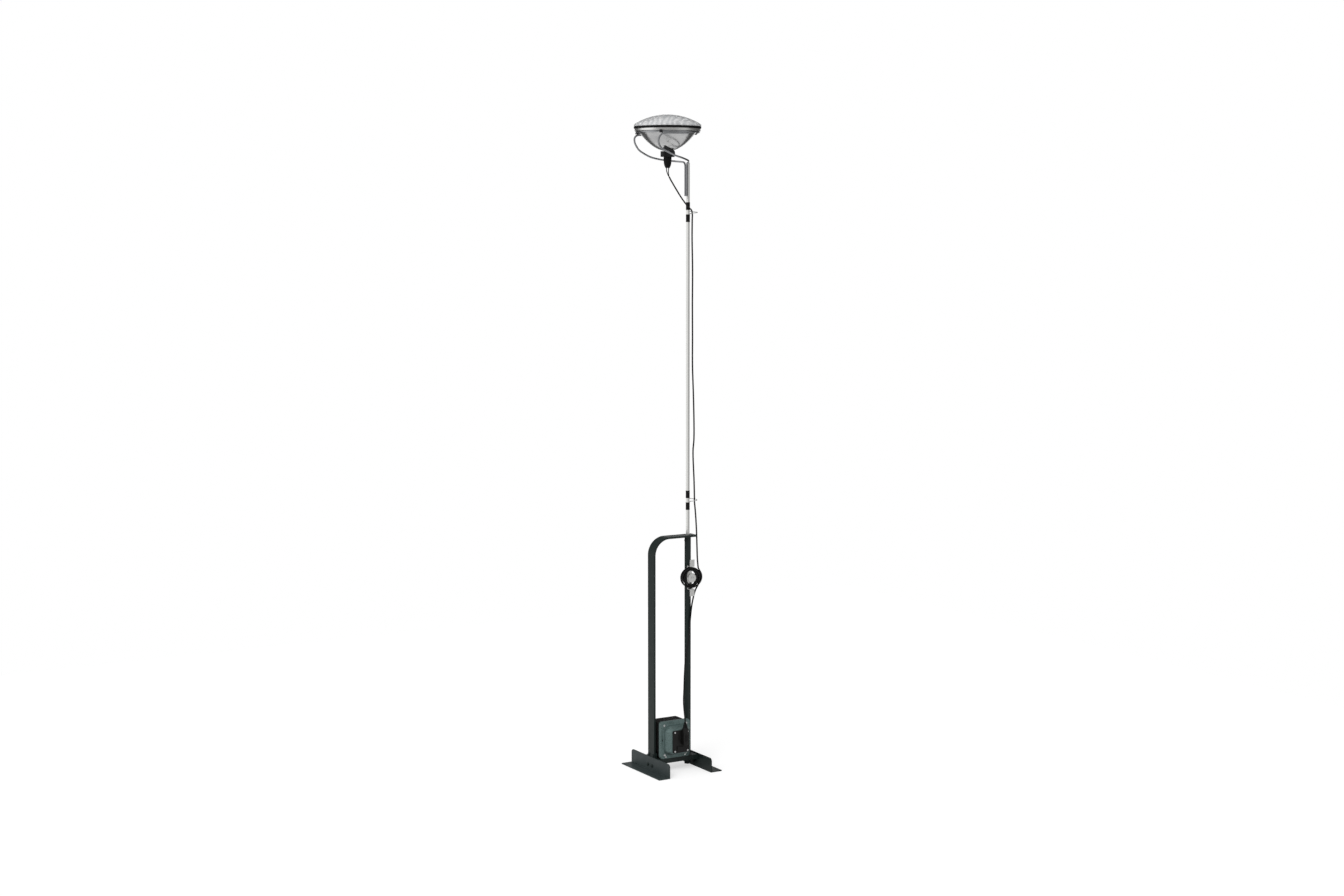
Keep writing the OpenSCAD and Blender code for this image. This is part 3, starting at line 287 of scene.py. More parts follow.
studio = {
    "sunFrom": (-0.62, -0.48, 0.62), "sunAngle": 26, "sunPower": 1.3,
    "bright": (-0.90, -0.40, 0.15), "soft": (0.6, 0.32),  # where diffuse light comes from, and its level and slope
    "back": (0.511, 0.859, 0.0), "left": (-0.859, 0.511, 0.0),  # the back wall, and the wall at its left
    # what metal mirrors, by degrees left of the back: white walls, black flags beside the frame, a window to the left
    "room": [(-180, 0.36), (-150, 0.3), (-135, 0.5), (-105, 0.5), (-95, 0.14), (-24, 0.06), (-17, 1.0), (17, 1.0),
             (24, 0.06), (64, 0.12), (76, 1.0), (125, 1.0), (140, 0.4), (160, 0.3), (180, 0.36)],
    "flag": 0.07, "flagRise": (0.16, 0.26), "flagDepth": (-0.1, 0.3),  # over and under the back wall
    "ceiling": 0.6, "ceilingRise": (0.55, 0.85),
    "floorSize": 4.4, "floorColour": (0.5, 0.505), "floorLift": 0.6, "floorMirrored": 0.2,  # share of that lift
}


def makeWorld():  # white to the camera; metal mirrors a studio with flags, and diffuse light is nearly even
    world = bpy.data.worlds.new("room")
    scene.world = world
    world.use_nodes = True
    w = Nodes(world.node_tree)
    direction = w.node("ShaderNodeTexCoord", out="Generated")
    back, left, bright = [w.dot(direction, studio[side]) for side in ("back", "left", "bright")]
    around = w.maths("ARCTAN2", left, back) / (2 * math.pi) + 0.5
    stops = [(degrees / 360 + 0.5, grey(level)) for degrees, level in studio["room"]]
    walls = w.node("ShaderNodeValToRGB", {"stops": stops}, [around])
    height = w.node("ShaderNodeSeparateXYZ", None, [direction], out="Z")
    flagged = w.ramp(w.maths("ABSOLUTE", height), *studio["flagRise"]) * w.ramp(back, *studio["flagDepth"])
    mirrored = w.between(flagged, walls, studio["flag"])
    mirrored = w.between(w.ramp(height, *studio["ceilingRise"]), mirrored, studio["ceiling"])
    level, slope = studio["soft"]
    lit = w.between(w.ray("Glossy"), bright * slope + level, mirrored)
    seen = w.maths("MAXIMUM", w.ray("Camera"), w.ray("Transmission"))
    sky = world.node_tree.nodes["Background"]
    w.put(w.between(seen, lit, 1.0), sky.inputs["Strength"])
    w.put(grey(1), sky.inputs["Color"])


def makeFloor():  # white to the camera and under glass, but for the object's shadow; dim in metal
    mesh = bpy.data.meshes.new("floor")
    half = studio["floorSize"] / 2
    mesh.from_pydata([(-half, -half, 0), (half, -half, 0), (half, half, 0), (-half, half, 0)], [], [(0, 1, 2, 3)])
    floor = bpy.data.objects.new("floor", mesh)
    scene.collection.objects.link(floor)
    f = Finish("paleFloor", roughness=0.9, specularIorLevel=0.0, emissionStrength=1.0)
    glow = f.ray("Glossy") * studio["floorMirrored"]
    for kind in ("Camera", "Transmission"):
        glow = f.maths("MAXIMUM", glow, f.ray(kind))
    f.feed(baseColor=f.mixed(f.noise(3, 2), *[grey(level) for level in studio["floorColour"]]),
           emissionColor=f.mixed(glow, grey(0), grey(studio["floorLift"])))
    mesh.materials.append(f.material)


def makeKey():
    data = bpy.data.lights.new("key", "SUN")
    data.angle, data.energy = math.radians(studio["sunAngle"]), studio["sunPower"]
    key = bpy.data.objects.new("key", data)
    key.rotation_euler = Vector(studio["sunFrom"]).to_track_quat("Z", "Y").to_euler()
    key.visible_glossy = False  # metal mirrors the room's window, not this sun's disc
    scene.collection.objects.link(key)


makeWorld()
makeFloor()
makeKey()
print("camera, room, floor and light")


meshing = {"merge": 1e-6, "sliver": 1e-7, "mergeSolid": 2e-6, "flat": 0.6, "bevels": 2, "sharp": 28, "crease": 75}


def meshFrom(name, parts, smoothAngle=35):  # parts are (points, faces) pairs
    form = bmesh.new()
    for points, faces in parts:
        made = [form.verts.new(p) for p in points]
        for face in faces:
            form.faces.new([made[i] for i in face])
    bmesh.ops.remove_doubles(form, verts=form.verts, dist=meshing["merge"])
    bmesh.ops.dissolve_degenerate(form, edges=form.edges, dist=meshing["sliver"])
    bmesh.ops.recalc_face_normals(form, faces=form.faces)
    return smoothed(meshOf(form, name), smoothAngle)


def meshOf(form, name):
    mesh = bpy.data.meshes.new(name)
    form.to_mesh(mesh)
    form.free()
    return mesh


def smoothed(mesh, angle):  # smooth, but for edges sharper than angle
    mesh.shade_smooth()
    mesh.set_sharp_from_angle(angle=math.radians(angle))
    return mesh


def piece(name, mesh, *replaced, body=None, slot=None):
    thing = bpy.data.objects.new(name, mesh)
    scene.collection.objects.link(thing)
    slot = slot or slotOf[replaced[0]]
    mesh.materials.clear()
    mesh.materials.append(finishes[slot])
    if body != "blended":
        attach(thing, body or bodyOf[replaced[0]])
    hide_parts(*replaced)
    return thing


def shaped(name, parts, smoothAngle, *replaced, **how):
    return piece(name, meshFrom(name, parts, smoothAngle), *replaced, **how)


def evaluated(thing):  # the mesh with its modifiers applied
    graph = bpy.context.evaluated_depsgraph_get()
    mesh = bpy.data.meshes.new_from_object(thing.evaluated_get(graph), depsgraph=graph)
    bpy.data.objects.remove(thing)
    return mesh


def carrier(mesh):  # an object that only holds a mesh for its modifiers
    thing = bpy.data.objects.new("carrier", mesh)
    scene.collection.objects.link(thing)
    return thing


def cutAway(mesh, tool, smoothAngle):  # a mesh with another cut out of it
    thing, cutter = carrier(mesh), carrier(tool)
    cut = thing.modifiers.new("cut", "BOOLEAN")
    cut.operation, cut.object, cut.solver = "DIFFERENCE", cutter, "EXACT"
    done = evaluated(thing)
    bpy.data.objects.remove(cutter)
    return smoothed(done, smoothAngle)


def mark(mesh, name, values, kind="FLOAT", domain="POINT", key="value"):  # for the trees and finishes
    mesh.attributes.new(name, kind, domain).data.foreach_set(key, values)


def solidCopy(node):  # a CAD solid as a clean mesh of large faces
    form = bmesh.new()
    form.from_mesh(nodes[node].data)
    bmesh.ops.remove_doubles(form, verts=form.verts, dist=meshing["mergeSolid"])
    bmesh.ops.dissolve_limit(form, angle_limit=math.radians(meshing["flat"]), verts=form.verts, edges=form.edges)
    return meshOf(form, node)


def rounded(mesh, width):  # every sharp edge gets a radius, whose faces are marked
    thing = carrier(mesh)
    bevel = thing.modifiers.new("edges", "BEVEL")
    bevel.width, bevel.segments = width, meshing["bevels"]
    bevel.limit_method, bevel.angle_limit = "ANGLE", math.radians(meshing["sharp"])
    bevel.use_clamp_overlap = True
    bevel.material = 1
    mesh.materials.clear()
    for key in ("flat", "edge"):  # these only number the faces
        mesh.materials.append(bpy.data.materials.get(key) or bpy.data.materials.new(key))
    weighted = thing.modifiers.new("normals", "WEIGHTED_NORMAL")
    weighted.keep_sharp = True
    smoothed(mesh, meshing["crease"])
    done = evaluated(thing)
    mark(done, "edge", [float(face.material_index) for face in done.polygons], domain="FACE")
    for face in done.polygons:
        face.material_index = 0
    return done


def softened(node, width, slot=None):
    return piece(node + "Form", rounded(solidCopy(node), width), node, slot=slot)


def polar(radius, degrees):  # a point on a circle
    a = math.radians(degrees)
    return radius * math.cos(a), radius * math.sin(a)


def smoothLine(points, steps):  # the same curve as the source's
    line = []
    for i in range(len(points) - 1):
        a, b = Vector(points[max(i - 1, 0)]), Vector(points[i])
        c, d = Vector(points[i + 1]), Vector(points[min(i + 2, len(points) - 1)])
        for s in range(steps):
            t = s / steps
            line.append(0.5 * (2 * b + (c - a) * t + (2 * a - 5 * b + 4 * c - d) * t * t
                               + (3 * b - a - 3 * c + d) * t * t * t))
    return line + [Vector(points[-1])]


def headingAt(line, i):
    return (line[min(i + 1, len(line) - 1)] - line[max(i - 1, 0)]).normalized()


def lengthOf(line):
    return sum((b - a).length for a, b in zip(line, line[1:]))


def sweep(line, section, side=(0, 1, 0), closed=False, capped=True):
    points, faces, count = [], [], len(section)
    side = Vector(side)
    for i, at in enumerate(line):
        ahead = (line[(i + 1) % len(line)] - line[i - 1]).normalized() if closed else headingAt(line, i)
        up = (side - side.dot(ahead) * ahead).normalized()
        out = up.cross(ahead)
        points += [at + s[0] * out + s[1] * up for s in section]
    rings = len(line)
    for i in range(rings if closed else rings - 1):
        for k in range(count):
            a, b = i * count + k, i * count + (k + 1) % count
            c, d = (b + count) % (rings * count), (a + count) % (rings * count)
            faces.append((a, b, c, d))
    if capped and not closed:
        faces += [tuple(range(count)), tuple((rings - 1) * count + k for k in range(count))]
    return points, faces


def circle(radius, count):
    return [polar(radius, 360 * k / count) for k in range(count)]


rodEnd = {"degrees": (30, 58, 80), "rise": 0.6}


def rod(line, radius, count, side=(0, 1, 0)):  # a round rod with domed ends
    points, faces = sweep(line, circle(radius, count), side, capped=False)
    for end, ring, sign in ((line[0], 0, -1), (line[-1], len(line) - 1, 1)):
        ahead = headingAt(line, ring) * sign
        last = [ring * count + k for k in range(count)]
        for step in rodEnd["degrees"]:
            share, rise = polar(1, step)
            first = len(points)
            points += [end + (points[ring * count + k] - end) * share + ahead * rise * radius * rodEnd["rise"]
                       for k in range(count)]
            faces += [(last[k], last[(k + 1) % count], first + (k + 1) % count, first + k) for k in range(count)]
            last = [first + k for k in range(count)]
        faces.append(tuple(last))
    return points, faces


def roundLoop(points, radius, steps=3, closed=True):  # a polygon with its corners rounded
    loop, count = [], len(points)
    for i, corner in enumerate(points):
        corner = Vector(corner)
        r = radius[i] if isinstance(radius, (list, tuple)) else radius
        if r <= 0 or not closed and i in (0, count - 1):
            loop.append(corner)
            continue
        before, after = Vector(points[i - 1]), Vector(points[(i + 1) % count])
        a = corner + (before - corner).normalized() * min(r, (before - corner).length * 0.48)
        b = corner + (after - corner).normalized() * min(r, (after - corner).length * 0.48)
        for s in range(steps + 1):
            t = s / steps
            loop.append(a * (1 - t) ** 2 + corner * 2 * t * (1 - t) + b * t * t)
    return loop


def turned(profile, centre, steps, closed=True, axis="Z"):  # a profile of (radius, height) turned round an axis
    points, faces, count = [], [], len(profile)
    for i in range(steps):
        for r, h in profile:
            x, y = polar(r, 360 * i / steps)
            points.append(Vector(centre) + Vector((x, -h, y) if axis == "Y" else (x, y, h)))
    for i in range(steps):
        j = (i + 1) % steps
        for k in range(count if closed else count - 1):
            m = (k + 1) % count
            faces.append((i * count + k, i * count + m, j * count + m, j * count + k))
    return points, faces


def roundRect(width, height, radius, corner):  # corner points of a rounded rectangle
    ring = []
    for cx, cz, start in ((1, 1, 0), (-1, 1, 90), (-1, -1, 180), (1, -1, 270)):
        for s in range(corner + 1):
            x, z = polar(radius, start + 90 * s / corner)
            ring.append((cx * (width / 2 - radius) + x, cz * (height / 2 - radius) + z))
    return ring


def loft(rings):  # through rings of as many points each, closed at both ends
    count, last = len(rings[0]), len(rings) - 1
    points = [Vector(p) for ring in rings for p in ring]
    faces = [(i * count + k, i * count + (k + 1) % count, (i + 1) * count + (k + 1) % count, (i + 1) * count + k)
             for i in range(last) for k in range(count)]
    return points, faces + [tuple(range(count)), tuple(last * count + k for k in range(count))]


def geometryTree(name, **inputs):  # a Geometry Nodes tree with named inputs
    tree = bpy.data.node_groups.new(name, "GeometryNodeTree")
    tree.interface.new_socket("Geometry", in_out="INPUT", socket_type="NodeSocketGeometry")
    tree.interface.new_socket("Geometry", in_out="OUTPUT", socket_type="NodeSocketGeometry")
    for label, kind in inputs.items():
        tree.interface.new_socket(label, in_out="INPUT", socket_type="NodeSocket" + kind)
    g = Nodes(tree)
    given, g.result = tree.nodes.new("NodeGroupInput"), tree.nodes.new("NodeGroupOutput")
    g.given = {s.name: Value(g, s) for s in given.outputs if s.name}
    return g


def finishTree(g, geometry):  # instances made real, and the finish put on
    real = g.node("GeometryNodeRealizeInstances", None, [geometry])
    dressed = g.node("GeometryNodeSetMaterial", None, {"Geometry": real, "Material": g.given["Finish"]})
    g.put(dressed, g.result.inputs[0])


def grown(source, g, **values):  # a tree's result on a mesh, as a plain mesh
    thing = carrier(source)
    modifier = thing.modifiers.new("tree", "NODES")
    modifier.node_group = g.tree
    for item in g.tree.interface.items_tree:
        if item.in_out == "INPUT" and item.name in values:
            modifier[item.identifier] = values[item.name]
    return evaluated(thing)


# the flat twin flex: one piece from the lamp's boot to the plug; runs in millimetres, as in the source
flex = {
    "width": 0.0054, "thick": 0.003, "lobe": (-38, 256, 9),  # each core's outline: start, sweep and steps
    "leadWidth": 0.0026, "leadsApart": 0.0034, "leadSink": 0.002, "leadDrop": 0.010, "leadLap": 0.001,
    "leadSteps": 6, "leadSides": 12,
    "bootLow": (-0.012, 0, 1.6702), "join": (-0.0055, -0.001, 1.643), "down": (0.5, 0, -0.85),
    "eyePass": (0.073, -0.003, 0.754), "reliefTop": (-0.001104, -0.0768, 0.1455),
    "upper": [(2, -2.5, 1630), (12.5, -4.5, 1613), (25.5, -7.5, 1592.5), (37.5, -11, 1575.5),
              (49.5, -11.5, 1563.5), (60.5, -6.5, 1556), (65.5, -2.5, 1545), (65.5, -2, 1526),
              (64, -4, 1475), (65, -5, 1390), (64.5, -5, 1300), (65, -5, 1210), (65, -5, 1130),
              (68, -5, 1050), (70, -5, 975), (70, -5, 925), (67, -5, 885), (71, -4, 810)],
    "riser": [(74.8, -6, 715), (75.8, -9.5, 670), (76.3, -11.5, 625), (75.2, -15.5, 590)],
    "lower": [(70, -13.7, 501), (64, -13, 482), (58, -12.4, 452), (53, -12.5, 410), (47, -13.5, 360),
              (36.5, -17, 315), (25, -30, 272), (12.5, -48, 232), (0.5, -66, 196)],
    "steps": 7, "stretchFrom": 0.578, "stretchTo": 0.745,
}
coil = {"turns": 5 + 65 / 360, "from": 35, "inner": (0.0155, 0.0195), "grow": (0.0073, 0.00375),
        "front": -0.01975, "layer": 0.0059, "change": 0.5, "rings": 36}


def inMetres(points):
    return [Vector(p) / 1000 for p in points]


def coilPoint(n):  # inwards in the front layer, then outwards in the back one
    u = n - coil["turns"] / 2
    x, z = polar(1, coil["from"] - 360 * n)
    rx, rz = (i + g * abs(u) for i, g in zip(coil["inner"], coil["grow"]))
    y = coil["front"] + coil["layer"] * min(1, max(0, 0.5 + u / coil["change"]))
    return Vector((place["postX"] + rx * x, y, place["winderZ"] + rz * z))


def flexRoute():
    w = flex["width"]
    down = Vector(flex["down"]).normalized()
    join, eye, relief = Vector(flex["join"]), Vector(flex["eyePass"]), Vector(flex["reliefTop"])
    count = round(coil["turns"] * coil["rings"])
    turns = [coilPoint(coil["turns"] * i / count) for i in range(count + 1)]
    print("flex on the winder:", round(lengthOf(turns), 4), "m")
    into, out = headingAt(turns, 0), headingAt(turns, count)
    turns = [turns[0] - w * into] + turns + [turns[-1] + w * out]
    upper = [join] + smoothLine([join + w * down] + inMetres(flex["upper"]) + [eye + Vector((0, 0, w))], flex["steps"])
    riser = smoothLine([eye - Vector((0, 0, w))] + inMetres(flex["riser"]) + [turns[0] - w * into], flex["steps"])
    lower = smoothLine([turns[-1] + w * out] + inMetres(flex["lower"]) + [relief + Vector((0, 0, w))], flex["steps"])
    return upper + [eye] + riser + turns + lower + [relief]


def twinSection():  # two round cores with a waist between them
    r, apart = flex["thick"] / 2, (flex["width"] - flex["thick"]) / 2
    start, swept, count = flex["lobe"]
    half = [(x, apart + y) for x, y in (polar(r, start + swept * k / count) for k in range(count + 1))]
    return half + [(-x, -y) for x, y in half]


def leadLine(side):  # side by side under the boot, one behind the other where the cord begins
    boot, join = Vector(flex["bootLow"]), Vector(flex["join"])
    down, d = Vector(flex["down"]).normalized(), flex["leadWidth"]
    run = [boot - Vector((0, 0, d)), boot - Vector((0, 0, flex["leadDrop"])), join - 3 * d * down, join - d * down]
    line = [boot + Vector((0, 0, flex["leadSink"])), boot] + smoothLine(run, flex["leadSteps"])
    line.append(join + flex["leadLap"] * down)
    last, inCord = len(line) - 2, (flex["width"] - d) / 2
    for i, at in enumerate(line):
        x, y = polar(1, 90 * min(1, max(0, (i - 2) / (last - 3))))
        line[i] = at + side * Vector((flex["leadsApart"] * x, inCord * y, 0))
    return line


def makeFlex():
    route = flexRoute()
    leads = [rod(leadLine(side), flex["leadWidth"] / 2, flex["leadSides"]) for side in (-1, 1)]
    cord = shaped("flex", [sweep(route, twinSection())] + leads, 60,
                  "cord_upper", "cord_riser", "cord_coil", "cord_lower", "lamp_leads", body="blended")
    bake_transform(cord)
    middle = leadLine(0)[:-1] + route
    print("flex:", round(lengthOf(middle), 4), "m")
    return cord, middle


plug = {"x": -0.001104, "low": 0.0805, "high": 0.1305, "front": -0.0828, "back": -0.0708, "width": 0.014,
        "rounding": 0.004, "corner": 6,
        "body": [(0, 0.0012), (0.06, 0.0003), (0.14, 0), (0.82, 0), (0.92, 0.0004), (0.98, 0.0014), (1, 0.0026)],
        "ribs": 5, "ribPitch": 0.0021, "ribDrop": 0.004, "rib": (0.0011, 0.022, 0.0005, 3),
        "ribLift": [(-0.0003, 1), (0.0003, 0.92), (0.0006, 0.7)]}  # how far out, and how wide there
relief = {"high": 0.1455, "lap": 0.0002, "width": (0.013, 0.008), "depth": (0.011, 0.0036), "power": 1.5,
          "grooves": 4, "groove": 0.0004, "corner": 5}


def makePlug():
    x, z = plug["x"], (plug["low"] + plug["high"]) / 2
    tall, deep = plug["high"] - plug["low"], plug["back"] - plug["front"]
    rings = []
    for share, inset in plug["body"]:
        y = plug["back"] - deep * share
        ring = roundRect(plug["width"] - 2 * inset, tall - 2 * inset, plug["rounding"] - inset * 0.6, plug["corner"])
        rings.append([(x + px, y, z + pz) for px, pz in ring])
    parts = [loft(rings)]
    for i in range(plug["ribs"]):  # grip ribs down the face
        rx = x + (i - (plug["ribs"] - 1) / 2) * plug["ribPitch"]
        ring = roundRect(*plug["rib"])
        parts.append(loft([[(rx + px * s, plug["front"] - lift, z - plug["ribDrop"] + pz * s) for px, pz in ring]
                           for lift, s in plug["ribLift"]]))
    return shaped("plugBody", parts, 40, "cord_plug")


def makeRelief():  # tapers towards the cord, with grooves that let it bend
    x, y, low = plug["x"], (plug["front"] + plug["back"]) / 2, plug["high"] + relief["lap"]
    count = relief["grooves"] * 6
    rings = []
    for i in range(count + 1):
        t = i / count
        groove = relief["groove"] if i % 6 in (3, 4) and 0 < t < 1 else 0
        w, d = [wide - taper * t ** relief["power"] for wide, taper in (relief["width"], relief["depth"])]
        ring = roundRect(w - 2 * groove, d - 2 * groove, min(w, d) / 2 - groove - 0.0002, relief["corner"])
        rings.append([(x + px, y + py, low + (relief["high"] - low) * t) for px, py in ring])
    return shaped("plugRelief", [loft(rings)], 50, "plug_relief")


flexPiece, flexMiddle = makeFlex()
onFlex = [makePlug(), makeRelief()]
lengthOf(flexMiddle)
print("plug")


edgeRadius = {  # the solids whose shape is right, and how round their edges are
    "left_foot": 0.0009, "right_foot": 0.0009, "platform": 0.0007, "handle": 0.0011, "post": 0.0009,
    "core_packer": 0.0006, "clamp_nut": 0.0006, "clamp_screw": 0.0003, "stem_cap": 0.0005, "winder_strip": 0.0005,
    "terminal_panel": 0.0007, "switch_body": 0.0003, "switch_rocker": 0.0003, "cord_inlet": 0.0004,
    "lamp_holder": 0.0014, "stem": 0.0004, "post_bush": 0.0003, "rim_clips": 0.0004,
}
for node, radius in edgeRadius.items():
    softened(node, radius, "black_steel" if node == "rim_clips" else None)
litLeftFootPaint = stovePaint("scuffedPaint", (48, 56, 57), (58, 66, 66), (96, 104, 102))
bpy.data.objects["left_footForm"].data.materials[0] = litLeftFootPaint  # painted light: this foot is lighter than the right one, as the light from the left falls on it
print("base and small solids softened")


cover = {  # y, width, height and corner radius of each step, from the edge to the face
    "edge": [
        (-0.028, 0.096, 0.1055, 0.008), (-0.0352, 0.096, 0.1055, 0.008), (-0.0362, 0.0954, 0.1049, 0.0077),
        (-0.0368, 0.0944, 0.1039, 0.0072), (-0.037, 0.093, 0.1025, 0.0066), (-0.037, 0.0795, 0.0875, 0.0212),
        (-0.0373, 0.0776, 0.0856, 0.0206), (-0.0382, 0.0764, 0.0844, 0.0202), (-0.0395, 0.0756, 0.0836, 0.0198)],
    "face": [(-0.0640, 0.0620, 0.0710, 0.0092), (-0.0655, 0.0609, 0.0699, 0.0088), (-0.0664, 0.0595, 0.0685, 0.0081),
             (-0.0669, 0.0578, 0.0668, 0.0072), (-0.067, 0.056, 0.065, 0.0064)],
    "wall": 0.0015, "sideRings": 7, "bulge": 0.0024, "corner": 9, "smooth": 30,
    "ventR": 0.00175, "ventAt": 0.041, "ventY": -0.0365, "cutter": 0.004,
}
backCover = {
    "edge": [(0.0301, 0.0895, 0.0975, 0.005), (0.0309, 0.0895, 0.0975, 0.005), (0.0314, 0.0890, 0.0970, 0.0048),
             (0.0316, 0.0880, 0.0960, 0.0044), (0.0316, 0.0785, 0.0825, 0.0188), (0.0320, 0.0768, 0.0808, 0.0184),
             (0.0330, 0.0757, 0.0797, 0.0180)],
    "face": [(0.0532, 0.0610, 0.0650, 0.0092), (0.0547, 0.0600, 0.0640, 0.0088), (0.0556, 0.0585, 0.0625, 0.0080),
             (0.0560, 0.0570, 0.0610, 0.0074), (0.0561, 0.0550, 0.0590, 0.0064)],
}


def pressedCover(made, centreZ):
    first, last, count = made["edge"][-1], made["face"][0], cover["sideRings"]
    steps = list(made["edge"])
    for i in range(1, count):  # the side bulges a little in width and height
        t = i / count
        bulge = cover["bulge"] * math.sin(math.pi * t)
        steps.append([a + (b - a) * t + more for a, b, more in zip(first, last, (0, bulge, bulge, 0))])
    steps += made["face"]
    x, wall = place["coverX"], cover["wall"]
    inward = wall if made["edge"][0][0] < 0 else -wall
    rings = []
    for i, (y, w, h, r) in enumerate(steps):
        ring = roundRect(w - 2 * wall, h - 2 * wall, max(r - wall, 0.001), cover["corner"])
        rings.insert(0, [(x + px, y + (inward if i else 0), centreZ + pz) for px, pz in ring])
    for y, w, h, r in steps:
        rings.append([(x + px, y, centreZ + pz) for px, pz in roundRect(w, h, r, cover["corner"])])
    return loft(rings)


def makeCovers():
    mesh = meshFrom("frontCover", [pressedCover(cover, place["coverZ"])], cover["smooth"])
    r, deep = cover["ventR"], cover["cutter"]
    pin = [(0, -deep), (r, -deep), (r, deep), (0, deep)]
    vents = [turned(pin, (place["coverX"] + side * cover["ventAt"], cover["ventY"], place["coverZ"]), 32, False, "Y")
             for side in (-1, 1)]
    piece("frontCover", cutAway(mesh, meshFrom("vents", vents), 40), "front_cover")
    shaped("backCover", [pressedCover(backCover, place["coreZ"])], cover["smooth"], "back_cover")


makeCovers()
print("covers pressed")


core = {"width": 0.0895, "height": 0.0975, "radius": 0.003, "front": -0.035, "depth": 0.065, "count": 74,
        "filled": 0.82, "burr": 0.0002, "play": 0.00025, "seed": 4}


def laminationTree():
    g = geometryTree("laminations", Count="Int", Pitch="Float", Play="Float", Seed="Int", Finish="Material")
    row = g.node("GeometryNodeMeshLine", None, {
        "Count": g.given["Count"],
        "Offset": g.node("ShaderNodeCombineXYZ", None, {"Y": g.given["Pitch"]})})
    shift = g.node("FunctionNodeRandomValue", {"data_type": "FLOAT_VECTOR"}, {
        "Min": (-1.0, 0.0, -1.0), "Max": (1.0, 0.0, 1.0), "Seed": g.given["Seed"]})
    shaken = g.node("GeometryNodeSetPosition", None, {
        "Geometry": row,
        "Offset": g.node("ShaderNodeVectorMath", {"operation": "SCALE"}, [shift, g.given["Play"]])})
    finishTree(g, g.node("GeometryNodeInstanceOnPoints", None, {"Points": shaken, "Instance": g.given["Geometry"]}))
    return g


def makeLaminations():
    pitch, play, burr = core["depth"] / core["count"], core["play"], core["burr"]
    thick = pitch * core["filled"]
    rings = []
    for y, inset in ((0, burr), (thick * 0.2, 0), (thick * 0.8, 0), (thick, burr)):
        ring = roundRect(core["width"] - 2 * (inset + play), core["height"] - 2 * (inset + play), core["radius"], 2)
        rings.append([(place["coverX"] + px, core["front"] + y, place["coreZ"] + pz) for px, pz in ring])
    stack = grown(meshFrom("plate", [loft(rings)], 30), laminationTree(), Count=core["count"], Pitch=pitch, Play=play,
                  Seed=core["seed"], Finish=finishes["core_iron"])
    piece("laminations", stack, "transformer_core")


makeLaminations()
print("laminations")


head = {"profile": [(0, -0.25), (0.28, -0.25), (0.28, 0.0), (0.5, 0.0), (0.5, 0.2), (0.36, 0.34), (0, 0.36)],
        "rounding": [0, 0, 0.02, 0.03, 0.12, 0.1, 0], "slotX": 0.6, "slotY": 0.07, "slotZ": (0.2, 0.6)}
nut = {"rings": [(0.47, 0.0), (0.5, 0.03), (0.5, 0.33), (0.46, 0.38), (0.36, 0.4)],
       "bolt": [(0, -0.3), (0.27, -0.3), (0.27, 0.44), (0.22, 0.5), (0, 0.5)]}


def slottedHead():  # one unit wide
    profile = roundLoop(head["profile"], head["rounding"], closed=False)
    x, y = head["slotX"], head["slotY"]
    slot = loft([[(-x, -y, z), (-x, y, z), (x, y, z), (x, -y, z)] for z in head["slotZ"]])
    return cutAway(meshFrom("head", [turned(profile, (0, 0, 0), 28, False)], 40), meshFrom("slot", [slot]), 40)


def hexNut():  # one unit across its corners, with the bolt's end in it
    sides = loft([[(x, y, z) for x, y in circle(r, 6)] for r, z in nut["rings"]])
    return meshFrom("nut", [sides, turned(nut["bolt"], (0, 0, 0), 20, False)], 30)


def screwTree():
    g = geometryTree("screws", Head="Object", Seed="Int", Finish="Material")
    shape = g.node("GeometryNodeObjectInfo", None, {"Object": g.given["Head"]}, out="Geometry")
    aim = g.node("GeometryNodeInputNamedAttribute", {"data_type": "FLOAT_VECTOR"}, {"Name": "aim"})
    width = g.node("GeometryNodeInputNamedAttribute", {"data_type": "FLOAT"}, {"Name": "width"})
    upright = g.node("FunctionNodeAlignRotationToVector", {"axis": "Z"}, {"Vector": aim})
    angle = g.node("FunctionNodeRandomValue", {"data_type": "FLOAT"}, {
        "Min": 0.0, "Max": 6.28, "Seed": g.given["Seed"]})
    twist = g.node("FunctionNodeAxisAngleToRotation", None, {"Axis": (0.0, 0.0, 1.0), "Angle": angle})
    turn = g.node("FunctionNodeRotateRotation", {"rotation_space": "LOCAL"}, {"Rotation": upright, "Rotate By": twist})
    finishTree(g, g.node("GeometryNodeInstanceOnPoints", None, {
        "Points": g.given["Geometry"], "Instance": shape, "Rotation": turn, "Scale": width}))
    return g


